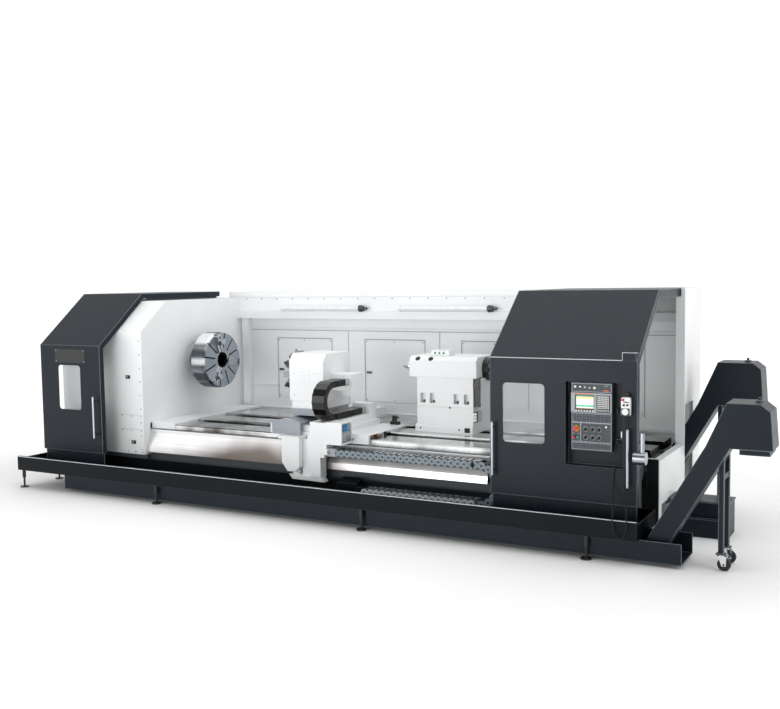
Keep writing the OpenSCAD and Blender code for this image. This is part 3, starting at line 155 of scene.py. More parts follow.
class Finish:
    """A material with one Principled shader, and the few patterns that this machine's finishes share."""

    def __init__(self, name):
        self.material = bpy.data.materials.new(name)
        self.material.use_nodes = True
        self.tree = self.material.node_tree
        self.tree.nodes.clear()
        self.shader = self.tree.nodes.new("ShaderNodeBsdfPrincipled")
        output = self.tree.nodes.new("ShaderNodeOutputMaterial")
        self.tree.links.new(self.shader.outputs[0], output.inputs[0])

    def add(self, kind, settings=None, inputs=None, out=0):
        return add(self.tree, "ShaderNode" + kind, settings, inputs, out)

    def place(self, scale=(1, 1, 1)):
        """Object coordinates, stretched by a scale."""
        where = self.add("TexCoord", out="Object")
        return self.add("Mapping", None, {"Vector": where, "Scale": scale})

    def axis(self, name):
        return self.add("SeparateXYZ", None, {0: self.add("TexCoord", out="Object")}, name)

    def noise(self, scale, detail=3, stretch=(1, 1, 1)):
        return self.add("TexNoise", None, {"Vector": self.place(stretch), "Scale": scale, "Detail": detail})

    def mix(self, share, a, b):
        return self.add("Mix", {"data_type": "RGBA"}, {0: share, 6: a, 7: b}, 2)

    def inside(self, wire, low, high):
        """1 where a value is between two limits."""
        return (wire > low) * (wire < high)

    def bump(self, brighter_upward, strength, distance, normal=None):
        inputs = {"Height": brighter_upward, "Strength": strength, "Distance": distance}
        if normal:
            inputs["Normal"] = normal
        return self.add("Bump", None, inputs)

    def set(self, **sockets):
        """Sets or links the shader's sockets. An underscore in a name stands for a space."""
        for key, value in sockets.items():
            key = key.replace("_", " ")
            if isinstance(value, Wire):
                self.tree.links.new(value.socket, self.shader.inputs[key])
            else:
                self.shader.inputs[key].default_value = value


def rgb(code):
    """A colour such as 2f353b as linear values."""
    parts = [int(code[i:i + 2], 16) / 255 for i in (0, 2, 4)]
    return (*[c / 12.92 if c < 0.04045 else ((c + 0.055) / 1.055) ** 2.4 for c in parts], 1)


def shade(colour, share):
    """A colour made darker or lighter by a share."""
    return (*[min(1, c * share) for c in colour[:3]], 1)


def powder_coat(name, code, roughness, peel=0.12, fold=FOLD_RADIUS, worn_and_lit_colour="ffffff", worn_and_lit_share=0.5, gloss=0.5):
    """Powder-coated sheet: faint patches, orange peel and soft folds whose colour turns lighter, partly from
    rubbing and partly as a painted highlight.
    """
    finish, colour = Finish(name), rgb(code)
    folded = finish.add("Bevel", {"samples": 6}, {"Radius": fold})
    flat = finish.add("NewGeometry", out="Normal")
    alike = finish.add("VectorMath", {"operation": "DOT_PRODUCT"}, {0: folded, 1: flat}, "Value")
    # Near a fold the colour turns towards a lighter one: partly real rubbing, partly a painted highlight on
    # the fold.
    rubbed_and_lit_edges = (1 - alike) * 4
    patches = finish.noise(1.4, 4)
    body = finish.mix(patches, shade(colour, 0.93), shade(colour, 1.06))
    body = finish.mix(rubbed_and_lit_edges.math("MINIMUM", rubbed_and_lit_edges, worn_and_lit_share), body, rgb(worn_and_lit_colour))
    grain = finish.noise(420, 2)
    finish.set(Base_Color=body, Roughness=roughness + (finish.noise(9, 3) - 0.5) * 0.12,
               Normal=finish.bump(grain, peel, 0.0006, folded), Specular_IOR_Level=gloss)
    return finish


def bare_metal(name, code, roughness, streak=(1, 1, 1), scale=60, depth=0.15, spread=0.12):
    """Bare metal with tool marks: noise pulled out along the way that the tool or grinder ran."""
    finish, colour = Finish(name), rgb(code)
    marks = finish.noise(scale, 5, streak)
    stains = finish.noise(2.5, 4)
    folded = finish.add("Bevel", {"samples": 4}, {"Radius": FOLD_RADIUS / 3})
    body = finish.mix(stains, shade(colour, 0.86), shade(colour, 1.08))
    finish.set(Base_Color=body, Metallic=1.0, Roughness=roughness + (marks - 0.5) * spread,
               Normal=finish.bump(marks, depth, 0.0008, folded))
    return finish


def painted_reflection_steel(name, light, dark, roughness, stretch, scale, dark_z, light_z):
    """Polished or ground steel under oil, with painted reflections: soft bright and brown streaks in its
    colour that turn darker towards the bottom.
    """
    finish = Finish(name)
    # Painted reflections: bright and brown streaks in the colour, darker towards the bottom.
    brighter_upward = (finish.axis("Z") - dark_z) / (light_z - dark_z) * 0.16
    painted_reflections = finish.add("MapRange", {"interpolation_type": "SMOOTHSTEP"}, {
        "Value": finish.noise(scale, 2, stretch) + brighter_upward - 0.1, "From Min": 0.3, "From Max": 0.62})
    lines = finish.noise(50, 4, (0.02, 1, 1))
    folded = finish.add("Bevel", {"samples": 4}, {"Radius": FOLD_RADIUS / 3})
    body = finish.mix(painted_reflections, rgb(dark), rgb(light))
    body = finish.mix((lines - 0.5) * 0.5 + 0.15, body, shade(rgb(dark), 1.6))
    finish.set(Base_Color=body, Metallic=1.0, Roughness=roughness + (lines - 0.5) * 0.1,
               Normal=finish.bump(lines, 0.05, 0.0006, folded))
    return finish


def moulded(name, code, roughness, grain=0.1, scale=900):
    """Moulded plastic or rubber: one colour with a fine eroded grain."""
    finish, colour = Finish(name), rgb(code)
    body = finish.mix(finish.noise(24, 3), shade(colour, 0.9), shade(colour, 1.1))
    finish.set(Base_Color=body, Roughness=roughness + (finish.noise(60, 2) - 0.5) * 0.1,
               Normal=finish.bump(finish.noise(scale, 2), grain, 0.0004))
    return finish


# %% [markdown]
# The chuck is turned, so its marks are rings about the spindle. A ring pattern is the distance from the
# axis, sent through a sine. Its slots are cut in the solid, and the finish paints shade into them: all that
# lies below its face is painted near black, and its side is painted with bright and dark glints. The
# slideways are ground along the bed and carry a film of oil. Their colour holds painted reflections, streaks
# along X that turn darker towards the bottom, so they read as nearly mirrors.

# %% Turned steel
AXIS_Y, AXIS_Z = 1500, 1372
SPINDLE = spot(0, AXIS_Y, AXIS_Z)
CHUCK_FACE, CHUCK_RIM, SLOT_EDGE = spot(1754, 0, 0).x, 0.313, 0.004
RING_RATE = 2600


def turned_steel(name, code, roughness):
    """Turned steel: rings on its face, painted shade in its slots, and painted bright and dark glints round
    its side.
    """
    finish, colour = Finish(name), rgb(code)
    radius = hypotenuse(finish.axis("Y") - SPINDLE.y, finish.axis("Z") - SPINDLE.z)
    wave = radius * RING_RATE
    rings = wave.math("SINE", wave) * 0.5 + 0.5
    folded = finish.add("Bevel", {"samples": 4}, {"Radius": 0.002})
    body = finish.mix(finish.noise(18, 3), shade(colour, 0.95), shade(colour, 1.04))
    # Painted shade: all that lies below the face inside the rim is near black.
    painted_slot_shade = (finish.axis("X") < CHUCK_FACE - SLOT_EDGE) * (radius < CHUCK_RIM)
    body = finish.mix(painted_slot_shade, body, rgb("0b0a0a"))
    # Painted glints: bright and dark streaks round the side.
    painted_glints = finish.add("MapRange", {"interpolation_type": "SMOOTHSTEP"}, {
        "Value": finish.noise(7, 1, (0.05, 1, 1)), "From Min": 0.42, "From Max": 0.66})
    body = finish.mix(radius > CHUCK_RIM, body, finish.mix(painted_glints, rgb("565c62"), rgb("f4f6f7")))
    finish.set(Base_Color=body, Metallic=1.0, Roughness=roughness + finish.noise(30, 3) * 0.05,
               Normal=finish.bump(rings, 0.05, 0.0004, folded))
    return finish


# %% [markdown]
# The machine's colours follow: paints, bare metals, then plastics. Each is one call with a colour, a
# roughness and how strong its marks are, so two finishes can be told apart on their own lines.

# %% Paints, metals and plastics
white_coat = powder_coat("white_coat", "eceeef", 0.36)
# The pale colours at the folds of the charcoal and the tray are partly a painted highlight.
charcoal_coat = powder_coat("charcoal_coat", "131c24", 0.38, fold=0.011, worn_and_lit_colour="9aa6ae", worn_and_lit_share=0.7, gloss=0.22)
tray_coat = powder_coat("tray_coat", "080d12", 0.4, worn_and_lit_colour="59636b", worn_and_lit_share=0.6, gloss=0.14)
slide_grey = powder_coat("slide_grey", "989ea6", 0.42)
seam_grey = powder_coat("seam_grey", "a3a7aa", 0.5)
# A pale grey for painted highlights along folds and edges.
edge_grey = powder_coat("edge_grey", "c3cacf", 0.4)
casting_coat = powder_coat("casting_coat", "4a4f54", 0.5, 0.3)
light_coat = powder_coat("light_coat", "c9cdd0", 0.4)
# The slideways and the chip guard carry painted reflections, darker towards the bottom.
ground_steel = painted_reflection_steel("ground_steel", "e2e4e5", "4c4541", 0.2, (1, 0.25, 0.25), 2.6, 0.66, 0.735)
polished_sheet = painted_reflection_steel("polished_sheet", "f4f5f6", "6a625d", 0.3, (0.55, 0.4, 0.5), 1.7, 0.41, 0.58)
spindle_steel = bare_metal("spindle_steel", "d6d8da", 0.15, (0.05, 1, 1), 90, 0.06)
grey_steel = bare_metal("grey_steel", "b4b8bc", 0.3, (1, 0.08, 1), 80)
dark_steel = bare_metal("dark_steel", "55585c", 0.36, (1, 1, 1), 120)
chrome = bare_metal("chrome", "e8eaec", 0.1, (1, 1, 0.1), 40, 0.03, 0.04)
chuck_steel = turned_steel("chuck_steel", "a4abb4", 0.34)
handle_steel = bare_metal("handle_steel", "aeb3b8", 0.3, (1, 1, 0.1), 60, 0.04)
jaw_steel = bare_metal("jaw_steel", "c4c8cc", 0.16, (1, 1, 1), 70, 0.06)
holder_steel = bare_metal("holder_steel", "8b8f94", 0.26, (1, 1, 1), 90)
black_steel = powder_coat("black_steel", "17191b", 0.36, 0.2, 0.002, "6d757b")
black_plastic = moulded("black_plastic", "141517", 0.42)
black_rubber = moulded("black_rubber", "101112", 0.62, 0.25, 500)
panel_grey = moulded("panel_grey", "3b4046", 0.46)
unit_grey = moulded("unit_grey", "9aa0a5", 0.42)
light_plastic = moulded("light_plastic", "e9eae8", 0.38)
red_plastic = moulded("red_plastic", "b8141a", 0.28, 0.03)
green_plastic = moulded("green_plastic", "138a5c", 0.3, 0.03)
yellow_plastic = moulded("yellow_plastic", "e3b416", 0.34, 0.04)
orange_plastic = moulded("orange_plastic", "e0701a", 0.36, 0.04)
blue_plastic = moulded("blue_plastic", "2f78b4", 0.3, 0.04)
key_grey = moulded("key_grey", "59636a", 0.34, 0.06)

# %% [markdown]
# Chain links are moulded in one plastic, yet their side plates catch more light than the covers between
# them. That light is painted: each face of a link carries a number for it, and the finish paints it into the
# colour as painted highlight and painted shade. The lower run of the long chain takes a lighter copy of its
# plastic, also a painted highlight. The panes are clear sheets with fine upright scratches, and the lamp
# tubes glow a little.


# %% Chain plastic, panes and lamps
def chain_plastic(name, dark, light, roughness):
    """Chain links: a painted light value on each face makes the side plates bright and the covers dark."""
    finish = Finish(name)
    # Painted light: each face's number sets how lit its colour is.
    tone = finish.add("Attribute", {"attribute_name": "tone"}, None, "Fac")
    body = finish.mix(tone, rgb(dark), rgb(light))
    body = finish.mix(finish.noise(30, 3) * 0.3, body, rgb(dark))
    finish.set(Base_Color=body, Roughness=roughness + (finish.noise(60, 2) - 0.5) * 0.1,
               Normal=finish.bump(finish.noise(900, 2), 0.06, 0.0004))
    return finish


chain_black = chain_plastic("chain_black", "0b0a0a", "221e1b", 0.2)
chain_grey = chain_plastic("chain_grey", "14191d", "93a2ac", 0.3)
# A lighter copy of the grey chain plastic: a painted highlight for the lower run.
chain_bright = chain_plastic("chain_bright", "59636a", "eef2f4", 0.26)

clear_pane = Finish("clear_pane")
scratches = clear_pane.noise(40, 5, (1, 1, 0.08))
clear_pane.set(Base_Color=clear_pane.mix(scratches, rgb("cfd8db"), rgb("e6edef")),
               Roughness=0.06 + scratches * 0.06, Alpha=0.12, IOR=1.45)

lamp_glow = Finish("lamp_glow")
ripple = lamp_glow.noise(14, 2)
lamp_glow.set(Base_Color=lamp_glow.mix(ripple, rgb("d3d8da"), rgb("eef1f2")), Roughness=0.2,
              Emission_Color=lamp_glow.mix(ripple, rgb("f2f6ff"), rgb("ffffff")), Emission_Strength=0.06)
print("finishes:", len(bpy.data.materials))

# %% [markdown]
# ## Dressing the solids
# Each solid of the model takes one finish. The list below is read as a paint plan: a finish, then the pieces
# that leave the paint shop or the grinder with it.

# %% Paint plan
PAINT_PLAN = [
    (white_coat, "headstock headstock_guard rear_guard access_panels end_frame"),
    (white_coat, "saddle turret_housing tailstock"),
    (tray_coat, "base_tray"),
    (charcoal_coat, "left_hood right_hood front_conveyor rear_conveyor coolant_tank"),
    (casting_coat, "bed spindle_motor"),
    (ground_steel, "slideways"),
    (spindle_steel, "ball_screw spindle quill live_centre motor_pulley"),
    (polished_sheet, "chip_guard"),
    (slide_grey, "gable_cover cross_slide"),
    (grey_steel, "turret_disc"),
    (jaw_steel, "jaw_1 jaw_2 jaw_3"),
    (chuck_steel, "chuck"),
    (holder_steel, "tool_holders"),
    (black_steel, "levelling_feet"),
    (handle_steel, "left_handle right_handles"),
    (chrome, "caster_fork_1 caster_fork_2"),
    (clear_pane, "left_window right_window"),
    (panel_grey, "operator_panel"),
    (red_plastic, "emergency_stop stop_button"),
    (green_plastic, "start_button"),
    (black_plastic, "switch_1 switch_2 switch_3 switch_4 switch_5 switch_6"),
    (light_plastic, "pendant pendant_wheel"),
    (black_rubber, "drive_belt pendant_cord caster_wheel_1 caster_wheel_2"),
    (black_steel, "tail_cylinder"),
    (lamp_glow, "work_lamps"),
    (chain_grey, "long_chain long_bend"),
    (chain_black, "cross_chain cross_bend"),
]


def coat(mesh, finish):
    """Gives a mesh one finish in place of any other."""
    mesh.materials.clear()
    mesh.materials.append(finish.material)


painted = 0
for finish, names in PAINT_PLAN:
    for name in names.split():
        coat(NODES[name].data, finish)
        painted += 1
print("painted", painted, "of", len(NODES))

# %% [markdown]
# ## Making a piece
# Every added piece is a mesh at the origin that rides on one body of the machine. `piece` links it, gives it
# a finish and says what carries it. `boxes` builds bevelled blocks, which suit plates, strips and clips.
# Blender's own operators could add cubes too, but they depend on what is selected, and bmesh doesn't.

# %% Piece helpers
FRONT, BACK, LEFT, RIGHT = (0, -1, 0), (0, 1, 0), (-1, 0, 0), (1, 0, 0)
new_pieces = []


def piece(name, mesh, body, finish):
    """Links a mesh as a piece, with a finish and on a body where they are given."""
    made = bpy.data.objects.new(name, mesh)
    bpy.context.scene.collection.objects.link(made)
    new_pieces.append(name)
    if finish:
        coat(mesh, finish)
    if body:
        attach(made, body)
    return made


def tell(title):
    """Prints how many pieces were made since it was last called."""
    print(f"{title}: {len(new_pieces)} made")
    new_pieces.clear()


def boxes(name, body, finish, sizes, edge=0.0015):
    """Bevelled blocks from pairs of opposite corners, in machine millimetres."""
    shape = bmesh.new()
    for low, high in sizes:
        low, high = spot(*low), spot(*high)
        place = Matrix.Translation((low + high) / 2) @ Matrix.Diagonal((*(high - low), 1))
        bmesh.ops.create_cube(shape, size=1, matrix=place)
    bmesh.ops.bevel(shape, geom=shape.edges[:], offset=edge, segments=2, affect="EDGES", profile=0.6)
    mesh = bpy.data.meshes.new(name)
    shape.to_mesh(mesh)
    shape.free()
    return piece(name, mesh, body, finish)


def lathe_turned(name, body, finish, profile, centre, axis, sides=32):
    """A turned piece: (radius, height) pairs in millimetres, spun about an axis through a centre."""
    shape = bmesh.new()
    turn = [2 * math.pi * i / sides for i in range(sides)]
    rings = []
    for radius, brighter_upward in profile:
        rings.append([
            shape.verts.new((radius * math.cos(a) / 1000, radius * math.sin(a) / 1000, brighter_upward / 1000))
            for a in turn])
    for lower, upper in zip(rings, rings[1:]):
        for i in range(sides):
            shape.faces.new((lower[i], lower[i - 1], upper[i - 1], upper[i])[::-1])
    shape.faces.new(rings[0][::-1])
    shape.faces.new(rings[-1])
    bmesh.ops.recalc_face_normals(shape, faces=shape.faces[:])
    shape.transform(Matrix.Translation(centre) @ Vector(axis).to_track_quat("Z", "Y").to_matrix().to_4x4())
    mesh = bpy.data.meshes.new(name)
    shape.to_mesh(mesh)
    shape.free()
    mesh.shade_smooth()
    mesh.set_sharp_from_angle(angle=math.radians(35))
    return piece(name, mesh, body, finish)


# %% [markdown]
# ## The pendant's curly cord
# A hand pendant hangs on a spring cord: a plain lead leaves the boot, winds into a tight coil, loops down in
# front of the tray and comes back up as a plain lead to a gland. The route is a list of points. The coil is a
# thin wire swept on a helix round that route, so its pitch and width are real.

# %% Cord route
CORD_ROUTE = [spot(*p) for p in (
    (6842, 262, 1140), (6842, 262, 1112), (6842, 266, 1060), (6839, 274, 1010), (6837, 277, 900),
    (6835, 277, 780), (6834, 277, 660), (6835, 276, 580), (6840, 262, 535), (6854, 214, 500),
    (6874, 140, 470), (6898, 70, 440), (6912, 26, 412), (6920, -6, 384), (6924, -26, 340),
    (6922, -34, 290), (6908, -36, 246), (6880, -36, 218), (6850, -36, 236), (6826, -36, 275),
    (6815, -32, 320), (6812, -18, 368), (6806, 12, 400), (6796, 54, 426), (6780, 114, 458),
    (6760, 180, 490), (6742, 244, 525), (6732, 277, 575), (6733, 284, 640), (6738, 287, 720),
    (6743, 290, 800), (6746, 298, 860), (6746, 312, 898), (6746, 332, 912), (6746, 348, 912))]
CORD_WIDTH = 0.016
WIRE_WIDTH = 0.0062
COIL_PITCH = 0.0165
# Where the coil starts and ends, and how soon it opens out, counted in points of the route
COIL_FROM, COIL_TO, FADE = 5.6, 27.4, 0.4


def smooth_route(points, steps=16):
    """A Catmull-Rom curve through the points, and how many points along it each sample is."""
    line, places = [], []
    for i in range(len(points) - 1):
        a, b, c, d = (points[min(max(k, 0), len(points) - 1)] for k in (i - 1, i, i + 1, i + 2))
        for s in range(steps):
            t = s / steps
            line.append(0.5 * (2 * b + (c - a) * t + (2 * a - 5 * b + 4 * c - d) * t * t
                               + (3 * b - 3 * c + d - a) * t ** 3))
            places.append(i + t)
    return line + [points[-1]], places + [len(points) - 1]


def evenly(line, places, step):
    """The route again with points a step apart, and each one's place on it."""
    out, marks, left = [line[0]], [places[0]], step
    for i in range(len(line) - 1):
        a, b = line[i], line[i + 1]
        span, done = (b - a).length, 0.0
        while span - done >= left:
            done += left
            share = done / span
            out.append(a.lerp(b, share))
            marks.append(places[i] + (places[i + 1] - places[i]) * share)
            left = step
        left -= span - done
    return out + [line[-1]], marks + [places[-1]]


route, route_places = smooth_route(CORD_ROUTE)
cord_length = sum((b - a).length for a, b in zip(route, route[1:]))
print("pendant cord:", round(cord_length, 3), "m along its route")


# %% Swept curves
def line_of(name, points):
    """An open curve of straight stretches through some points."""
    data = bpy.data.curves.new(name, "CURVE")
    data.dimensions = "3D"
    spline = data.splines.new("POLY")
    spline.points.add(len(points) - 1)
    for point, place in zip(spline.points, points):
        point.co = (*place, 1)
    return data


def swept(name, data, width, resolution):
    """A round section of some width, swept along a curve, as a smooth plain mesh."""
    data.bevel_depth = width / 2
    data.bevel_resolution = resolution
    holder = bpy.data.objects.new(name, data)
    mesh = bpy.data.meshes.new_from_object(holder)
    bpy.data.objects.remove(holder)
    mesh.shade_smooth()
    return mesh


# %% Cord coil
TURN_STEPS = 12
PLAIN_STEP = 6
line, places = evenly(route, route_places, COIL_PITCH / TURN_STEPS)
side = Vector((0, 1, 0))
wire, radii = [], []
for i, (point, mark) in enumerate(zip(line, places)):
    along = (line[min(i + 1, len(line) - 1)] - line[max(i - 1, 0)]).normalized()
    side = (side - along * side.dot(along)).normalized()
    angle = 2 * math.pi * i / TURN_STEPS
    wound = min(1, max(0, min(mark - COIL_FROM, COIL_TO - mark) / FADE))
    reach = wound * (CORD_WIDTH - WIRE_WIDTH) / 2
    wire.append(point + reach * (math.cos(angle) * side + math.sin(angle) * along.cross(side)))
    radii.append(1 + (1 - wound) * 0.5)
last = len(wire) - 1
kept = [i for i in range(len(wire)) if i % PLAIN_STEP == 0 or COIL_FROM < places[i] < COIL_TO or i == last]
thread = line_of("pendant_lead", [wire[i] for i in kept])
thread.use_fill_caps = True
for point, i in zip(thread.splines[0].points, kept):
    point.radius = radii[i]
lead_mesh = swept("pendant_lead", thread, WIRE_WIDTH, 1)
lead = piece("pendant_lead", lead_mesh, "right_hood", black_rubber)
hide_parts("pendant_cord")
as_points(route)
print("lead faces:", len(lead_mesh.polygons))

# %% [markdown]
# ## Geometry Nodes for what repeats
# Screws, keys and chain links are one shape set down many times. Each tree below is built once, with named
# sizes. `grow` puts it on an object, reads the result as a plain mesh and throws the object away, so that no
# modifier is left. A Python loop could copy the meshes as well, but a tree keeps its sizes open to change.


# %% Tree helpers
def start_tree(name, **inputs):
    """A geometry tree with a Geometry input, the named inputs, and a wire for each."""
    tree = bpy.data.node_groups.new(name, "GeometryNodeTree")
    tree.interface.new_socket("Geometry", in_out="OUTPUT", socket_type="NodeSocketGeometry")
    for label, kind in {"Geometry": "Geometry", **inputs, "Finish": "Material"}.items():
        tree.interface.new_socket(label, in_out="INPUT", socket_type="NodeSocket" + kind)
    given = tree.nodes.new("NodeGroupInput")
    return tree, {s.name: Wire(tree, s) for s in given.outputs if s.name}


def end_tree(tree, instances, given):
    """Makes the instances real, gives them the finish and sends them to the tree's output."""
    solid = add(tree, "GeometryNodeRealizeInstances", None, {0: instances})
    coated = add(tree, "GeometryNodeSetMaterial", None, {"Geometry": solid, "Material": given["Finish"]})
    tree.links.new(coated.socket, tree.nodes.new("NodeGroupOutput").inputs[0])
    return tree


def grow(tree, source, finish, **values):
    """Runs a tree on some data and returns a plain mesh."""
    holder = bpy.data.objects.new(tree.name, source)
    bpy.context.scene.collection.objects.link(holder)
    modifier = holder.modifiers.new(tree.name, "NODES")
    modifier.node_group = tree
    values["Finish"] = finish.material
    for item in tree.interface.items_tree:
        if item.in_out == "INPUT" and item.name in values:
            modifier[item.identifier] = values[item.name]
    mesh = bpy.data.meshes.new_from_object(holder.evaluated_get(bpy.context.evaluated_depsgraph_get()))
    bpy.data.objects.remove(holder)
    return mesh


# %% Screw heads
screw_tree, given = start_tree("screw_heads", Diameter="Float", Height="Float", Sides="Int")
head = add(screw_tree, "GeometryNodeMeshCone", {"fill_type": "NGON"}, {
    "Vertices": given["Sides"], "Depth": given["Height"],
    "Radius Top": given["Diameter"] * 0.36, "Radius Bottom": given["Diameter"] * 0.5})
facing = add(screw_tree, "GeometryNodeInputNamedAttribute", {"data_type": "FLOAT_VECTOR"}, {"Name": "facing"})
turned = add(screw_tree, "FunctionNodeAlignRotationToVector", {"axis": "Z"}, {"Vector": facing})
heads = add(screw_tree, "GeometryNodeInstanceOnPoints", None, {
    "Points": given["Geometry"], "Instance": head, "Rotation": turned})
end_tree(screw_tree, heads, given)
print("screw tree:", len(screw_tree.nodes), "nodes")


def row(start, end, count):
    """Evenly spaced places from one machine point to another."""
    return [tuple(a + (b - a) * i / (count - 1) for a, b in zip(start, end)) for i in range(count)]


def screws(name, body, finish, places, facing, diameter, brighter_upward, sides):
    """Screw heads at places in machine millimetres, all facing one way."""
    points = bpy.data.meshes.new(name)
    points.from_pydata([spot(*p) for p in places], [], [])
    attribute = points.attributes.new("facing", "FLOAT_VECTOR", "POINT")
    attribute.data.foreach_set("vector", list(facing) * len(places))
    mesh = grow(screw_tree, points, finish, Diameter=diameter / 1000, Height=brighter_upward / 1000, Sides=sides)
    return piece(name, mesh, body, finish)


# %% Key rows
key_tree, given = start_tree(
    "key_rows", Columns="Int", Rows="Int", Width="Float", Height="Float", Key="Vector")
grid = add(key_tree, "GeometryNodeMeshGrid", None, {
    "Size X": given["Width"], "Size Y": given["Height"],
    "Vertices X": given["Columns"], "Vertices Y": given["Rows"]})
cap = add(key_tree, "GeometryNodeMeshCone", {"fill_type": "NGON"}, {
    "Vertices": 4, "Radius Top": 0.58, "Radius Bottom": 0.7071, "Depth": 1.0})
square = add(key_tree, "GeometryNodeTransform", None, {
    "Geometry": cap, "Rotation": Euler((0, 0, math.pi / 4))})
sized = add(key_tree, "GeometryNodeTransform", None, {"Geometry": square, "Scale": given["Key"]})
keys = add(key_tree, "GeometryNodeInstanceOnPoints", None, {"Points": grid, "Instance": sized})
end_tree(key_tree, keys, given)
print("key tree:", len(key_tree.nodes), "nodes")
FACING_FRONT = Matrix.Rotation(math.pi / 2, 4, "X")


def key_rows(name, body, finish, x, z, y, columns, rows, key):
    """Key caps on a front face: spans of x and z for the outer key centres, and the face's y."""
    mesh = grow(key_tree, bpy.data.meshes.new(name), finish, Columns=columns, Rows=rows,
                Width=(x[1] - x[0]) / 1000, Height=(z[1] - z[0]) / 1000, Key=[k / 1000 for k in key])
    mesh.transform(Matrix.Translation(spot(sum(x) / 2, y, sum(z) / 2)) @ FACING_FRONT)
    return piece(name, mesh, body, finish)


# %% [markdown]
# ## Cable chains
# Two chains carry cables to the carriage. A link has an outer eye at one end and an inner eye at the other,
# so neighbours lap, with a cover bar above and below. The links are set down along a line for each straight
# run and along a half circle for the bend. An armature could roll them one by one. Here each bend rides on
# its own body of the machine, and the straight runs are plain meshes that stay where they are set.

# %% Chain links
link_tree, given = start_tree("chain_links", Pitch="Float", Link="Object")
places = add(link_tree, "GeometryNodeCurveToPoints", {"mode": "LENGTH"}, {
    "Curve": given["Geometry"], "Length": given["Pitch"]})
tangent = Wire(link_tree, places.socket.node.outputs["Tangent"])
turned = add(link_tree, "FunctionNodeAlignRotationToVector", {"axis": "X", "pivot_axis": "Y"}, {
    "Vector": tangent})
shape = add(link_tree, "GeometryNodeObjectInfo", None, {"Object": given["Link"]}, "Geometry")
links = add(link_tree, "GeometryNodeInstanceOnPoints", None, {
    "Points": places, "Instance": shape, "Rotation": turned})
end_tree(link_tree, links, given)
print("link tree:", len(link_tree.nodes), "nodes")


def link_shape(pitch, width, brighter_upward, cover):
    """One link about the origin: lapping eyes, webs, pins and two cover bars, with a painted light value for
    each face.
    """
    shape = bmesh.new()
    tone = shape.faces.layers.float.new("tone")
    plate = width * 0.055
    upright = Matrix.Rotation(math.pi / 2, 4, "X")

    # Each face gets a painted light value: bright eyes, darker webs and covers.
    def paint_light(value):
        for face in shape.faces:
            if face[tone] == 0:
                face[tone] = value

    def block(place, size, value):
        sized = Matrix.Translation(place) @ Matrix.Diagonal((*size, 1))
        bmesh.ops.create_cube(shape, size=1, matrix=sized)
        paint_light(value)

    # Each eye's end of the link, how far it is sunk, its radius, its depth and its painted light
    eyes = ((-0.5, 0.5, 0.47, 1.0, 0.95), (0.5, 1.5, 0.42, 1.0, 0.3), (-0.5, -0.1, 0.16, 0.4, 0.1))
    for side in (-1, 1):
        for end, painted_slot_shade, radius, depth, value in eyes:
            place = Matrix.Translation((end * pitch, side * (width / 2 - painted_slot_shade * plate), 0)) @ upright
            bmesh.ops.create_cone(shape, cap_ends=True, segments=16, radius1=radius * brighter_upward,
                                  radius2=radius * brighter_upward, depth=depth * plate, matrix=place)
            paint_light(value)
        block((0, side * (width / 2 - plate), 0), (pitch * 0.9, plate * 1.3, brighter_upward * 0.42), 0.18)
    for z in (-1, 1):
        block((0, 0, z * brighter_upward * 0.45), (pitch * cover, width - plate, brighter_upward * 0.1), 0.05)
    mesh = bpy.data.meshes.new("link")
    shape.to_mesh(mesh)
    shape.free()
    return mesh


# %% Chain runs
# A hair less than the even step, so that rounding doesn't drop a run's last link
HAIR_SHORT = 0.9999


def cable_chain(name, finish, pitch, width, brighter_upward, radius, upper, lower, place, cover=0.6):
    """The upper run, the bend and the lower run of a chain. Its bend is at the +X end of its own frame."""
    link = bpy.data.objects.new("link", link_shape(pitch, width, brighter_upward, cover))
    turn = [math.radians(a) for a in range(-90, 91, 5)]
    lines = {
        "upper": [(-upper + pitch / 2, 0, radius), (-pitch / 2, 0, radius)],
        "bend": [(radius * math.cos(a), 0, -radius * math.sin(a)) for a in turn],
        "lower": [(-lower + pitch / 2, 0, -radius), (-pitch / 2, 0, -radius)],
    }
    made = {}
    for part, points in lines.items():
        long = sum((Vector(b) - Vector(a)).length for a, b in zip(points, points[1:]))
        step = long / max(1, round(long / pitch))
        mesh = grow(link_tree, line_of("run", points), finish, Pitch=step * HAIR_SHORT, Link=link)
        mesh.transform(place)
        made[part] = piece(f"{name}_{part}", mesh, None, None)
    bpy.data.objects.remove(link)
    return made


# %% Long chain
ZCHAIN_X, ZCHAIN_Z, ZCHAIN_R = 5440, 422, 178
CARRIAGE_END, TRAY_END = 3870, 4250
long_low, long_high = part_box("long_bend")
long_middle = (long_low.y + long_high.y) / 2
long_run = cable_chain(
    "long_chain", chain_grey, 0.066, long_high.y - long_low.y, 0.075, ZCHAIN_R / 1000,
    (ZCHAIN_X - CARRIAGE_END) / 1000, (ZCHAIN_X - TRAY_END) / 1000,
    Matrix.Translation((spot(ZCHAIN_X, 0, 0).x, long_middle, ZCHAIN_Z / 1000)))
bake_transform(long_run["upper"])
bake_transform(long_run["lower"])
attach(long_run["bend"], "long_bend")
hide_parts("long_chain")
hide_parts("long_bend")
# The lower run takes a lighter copy of the chain plastic: a painted highlight.
coat(long_run["lower"].data, chain_bright)
print("long chain faces:", sum(len(run.data.polygons) for run in long_run.values()))

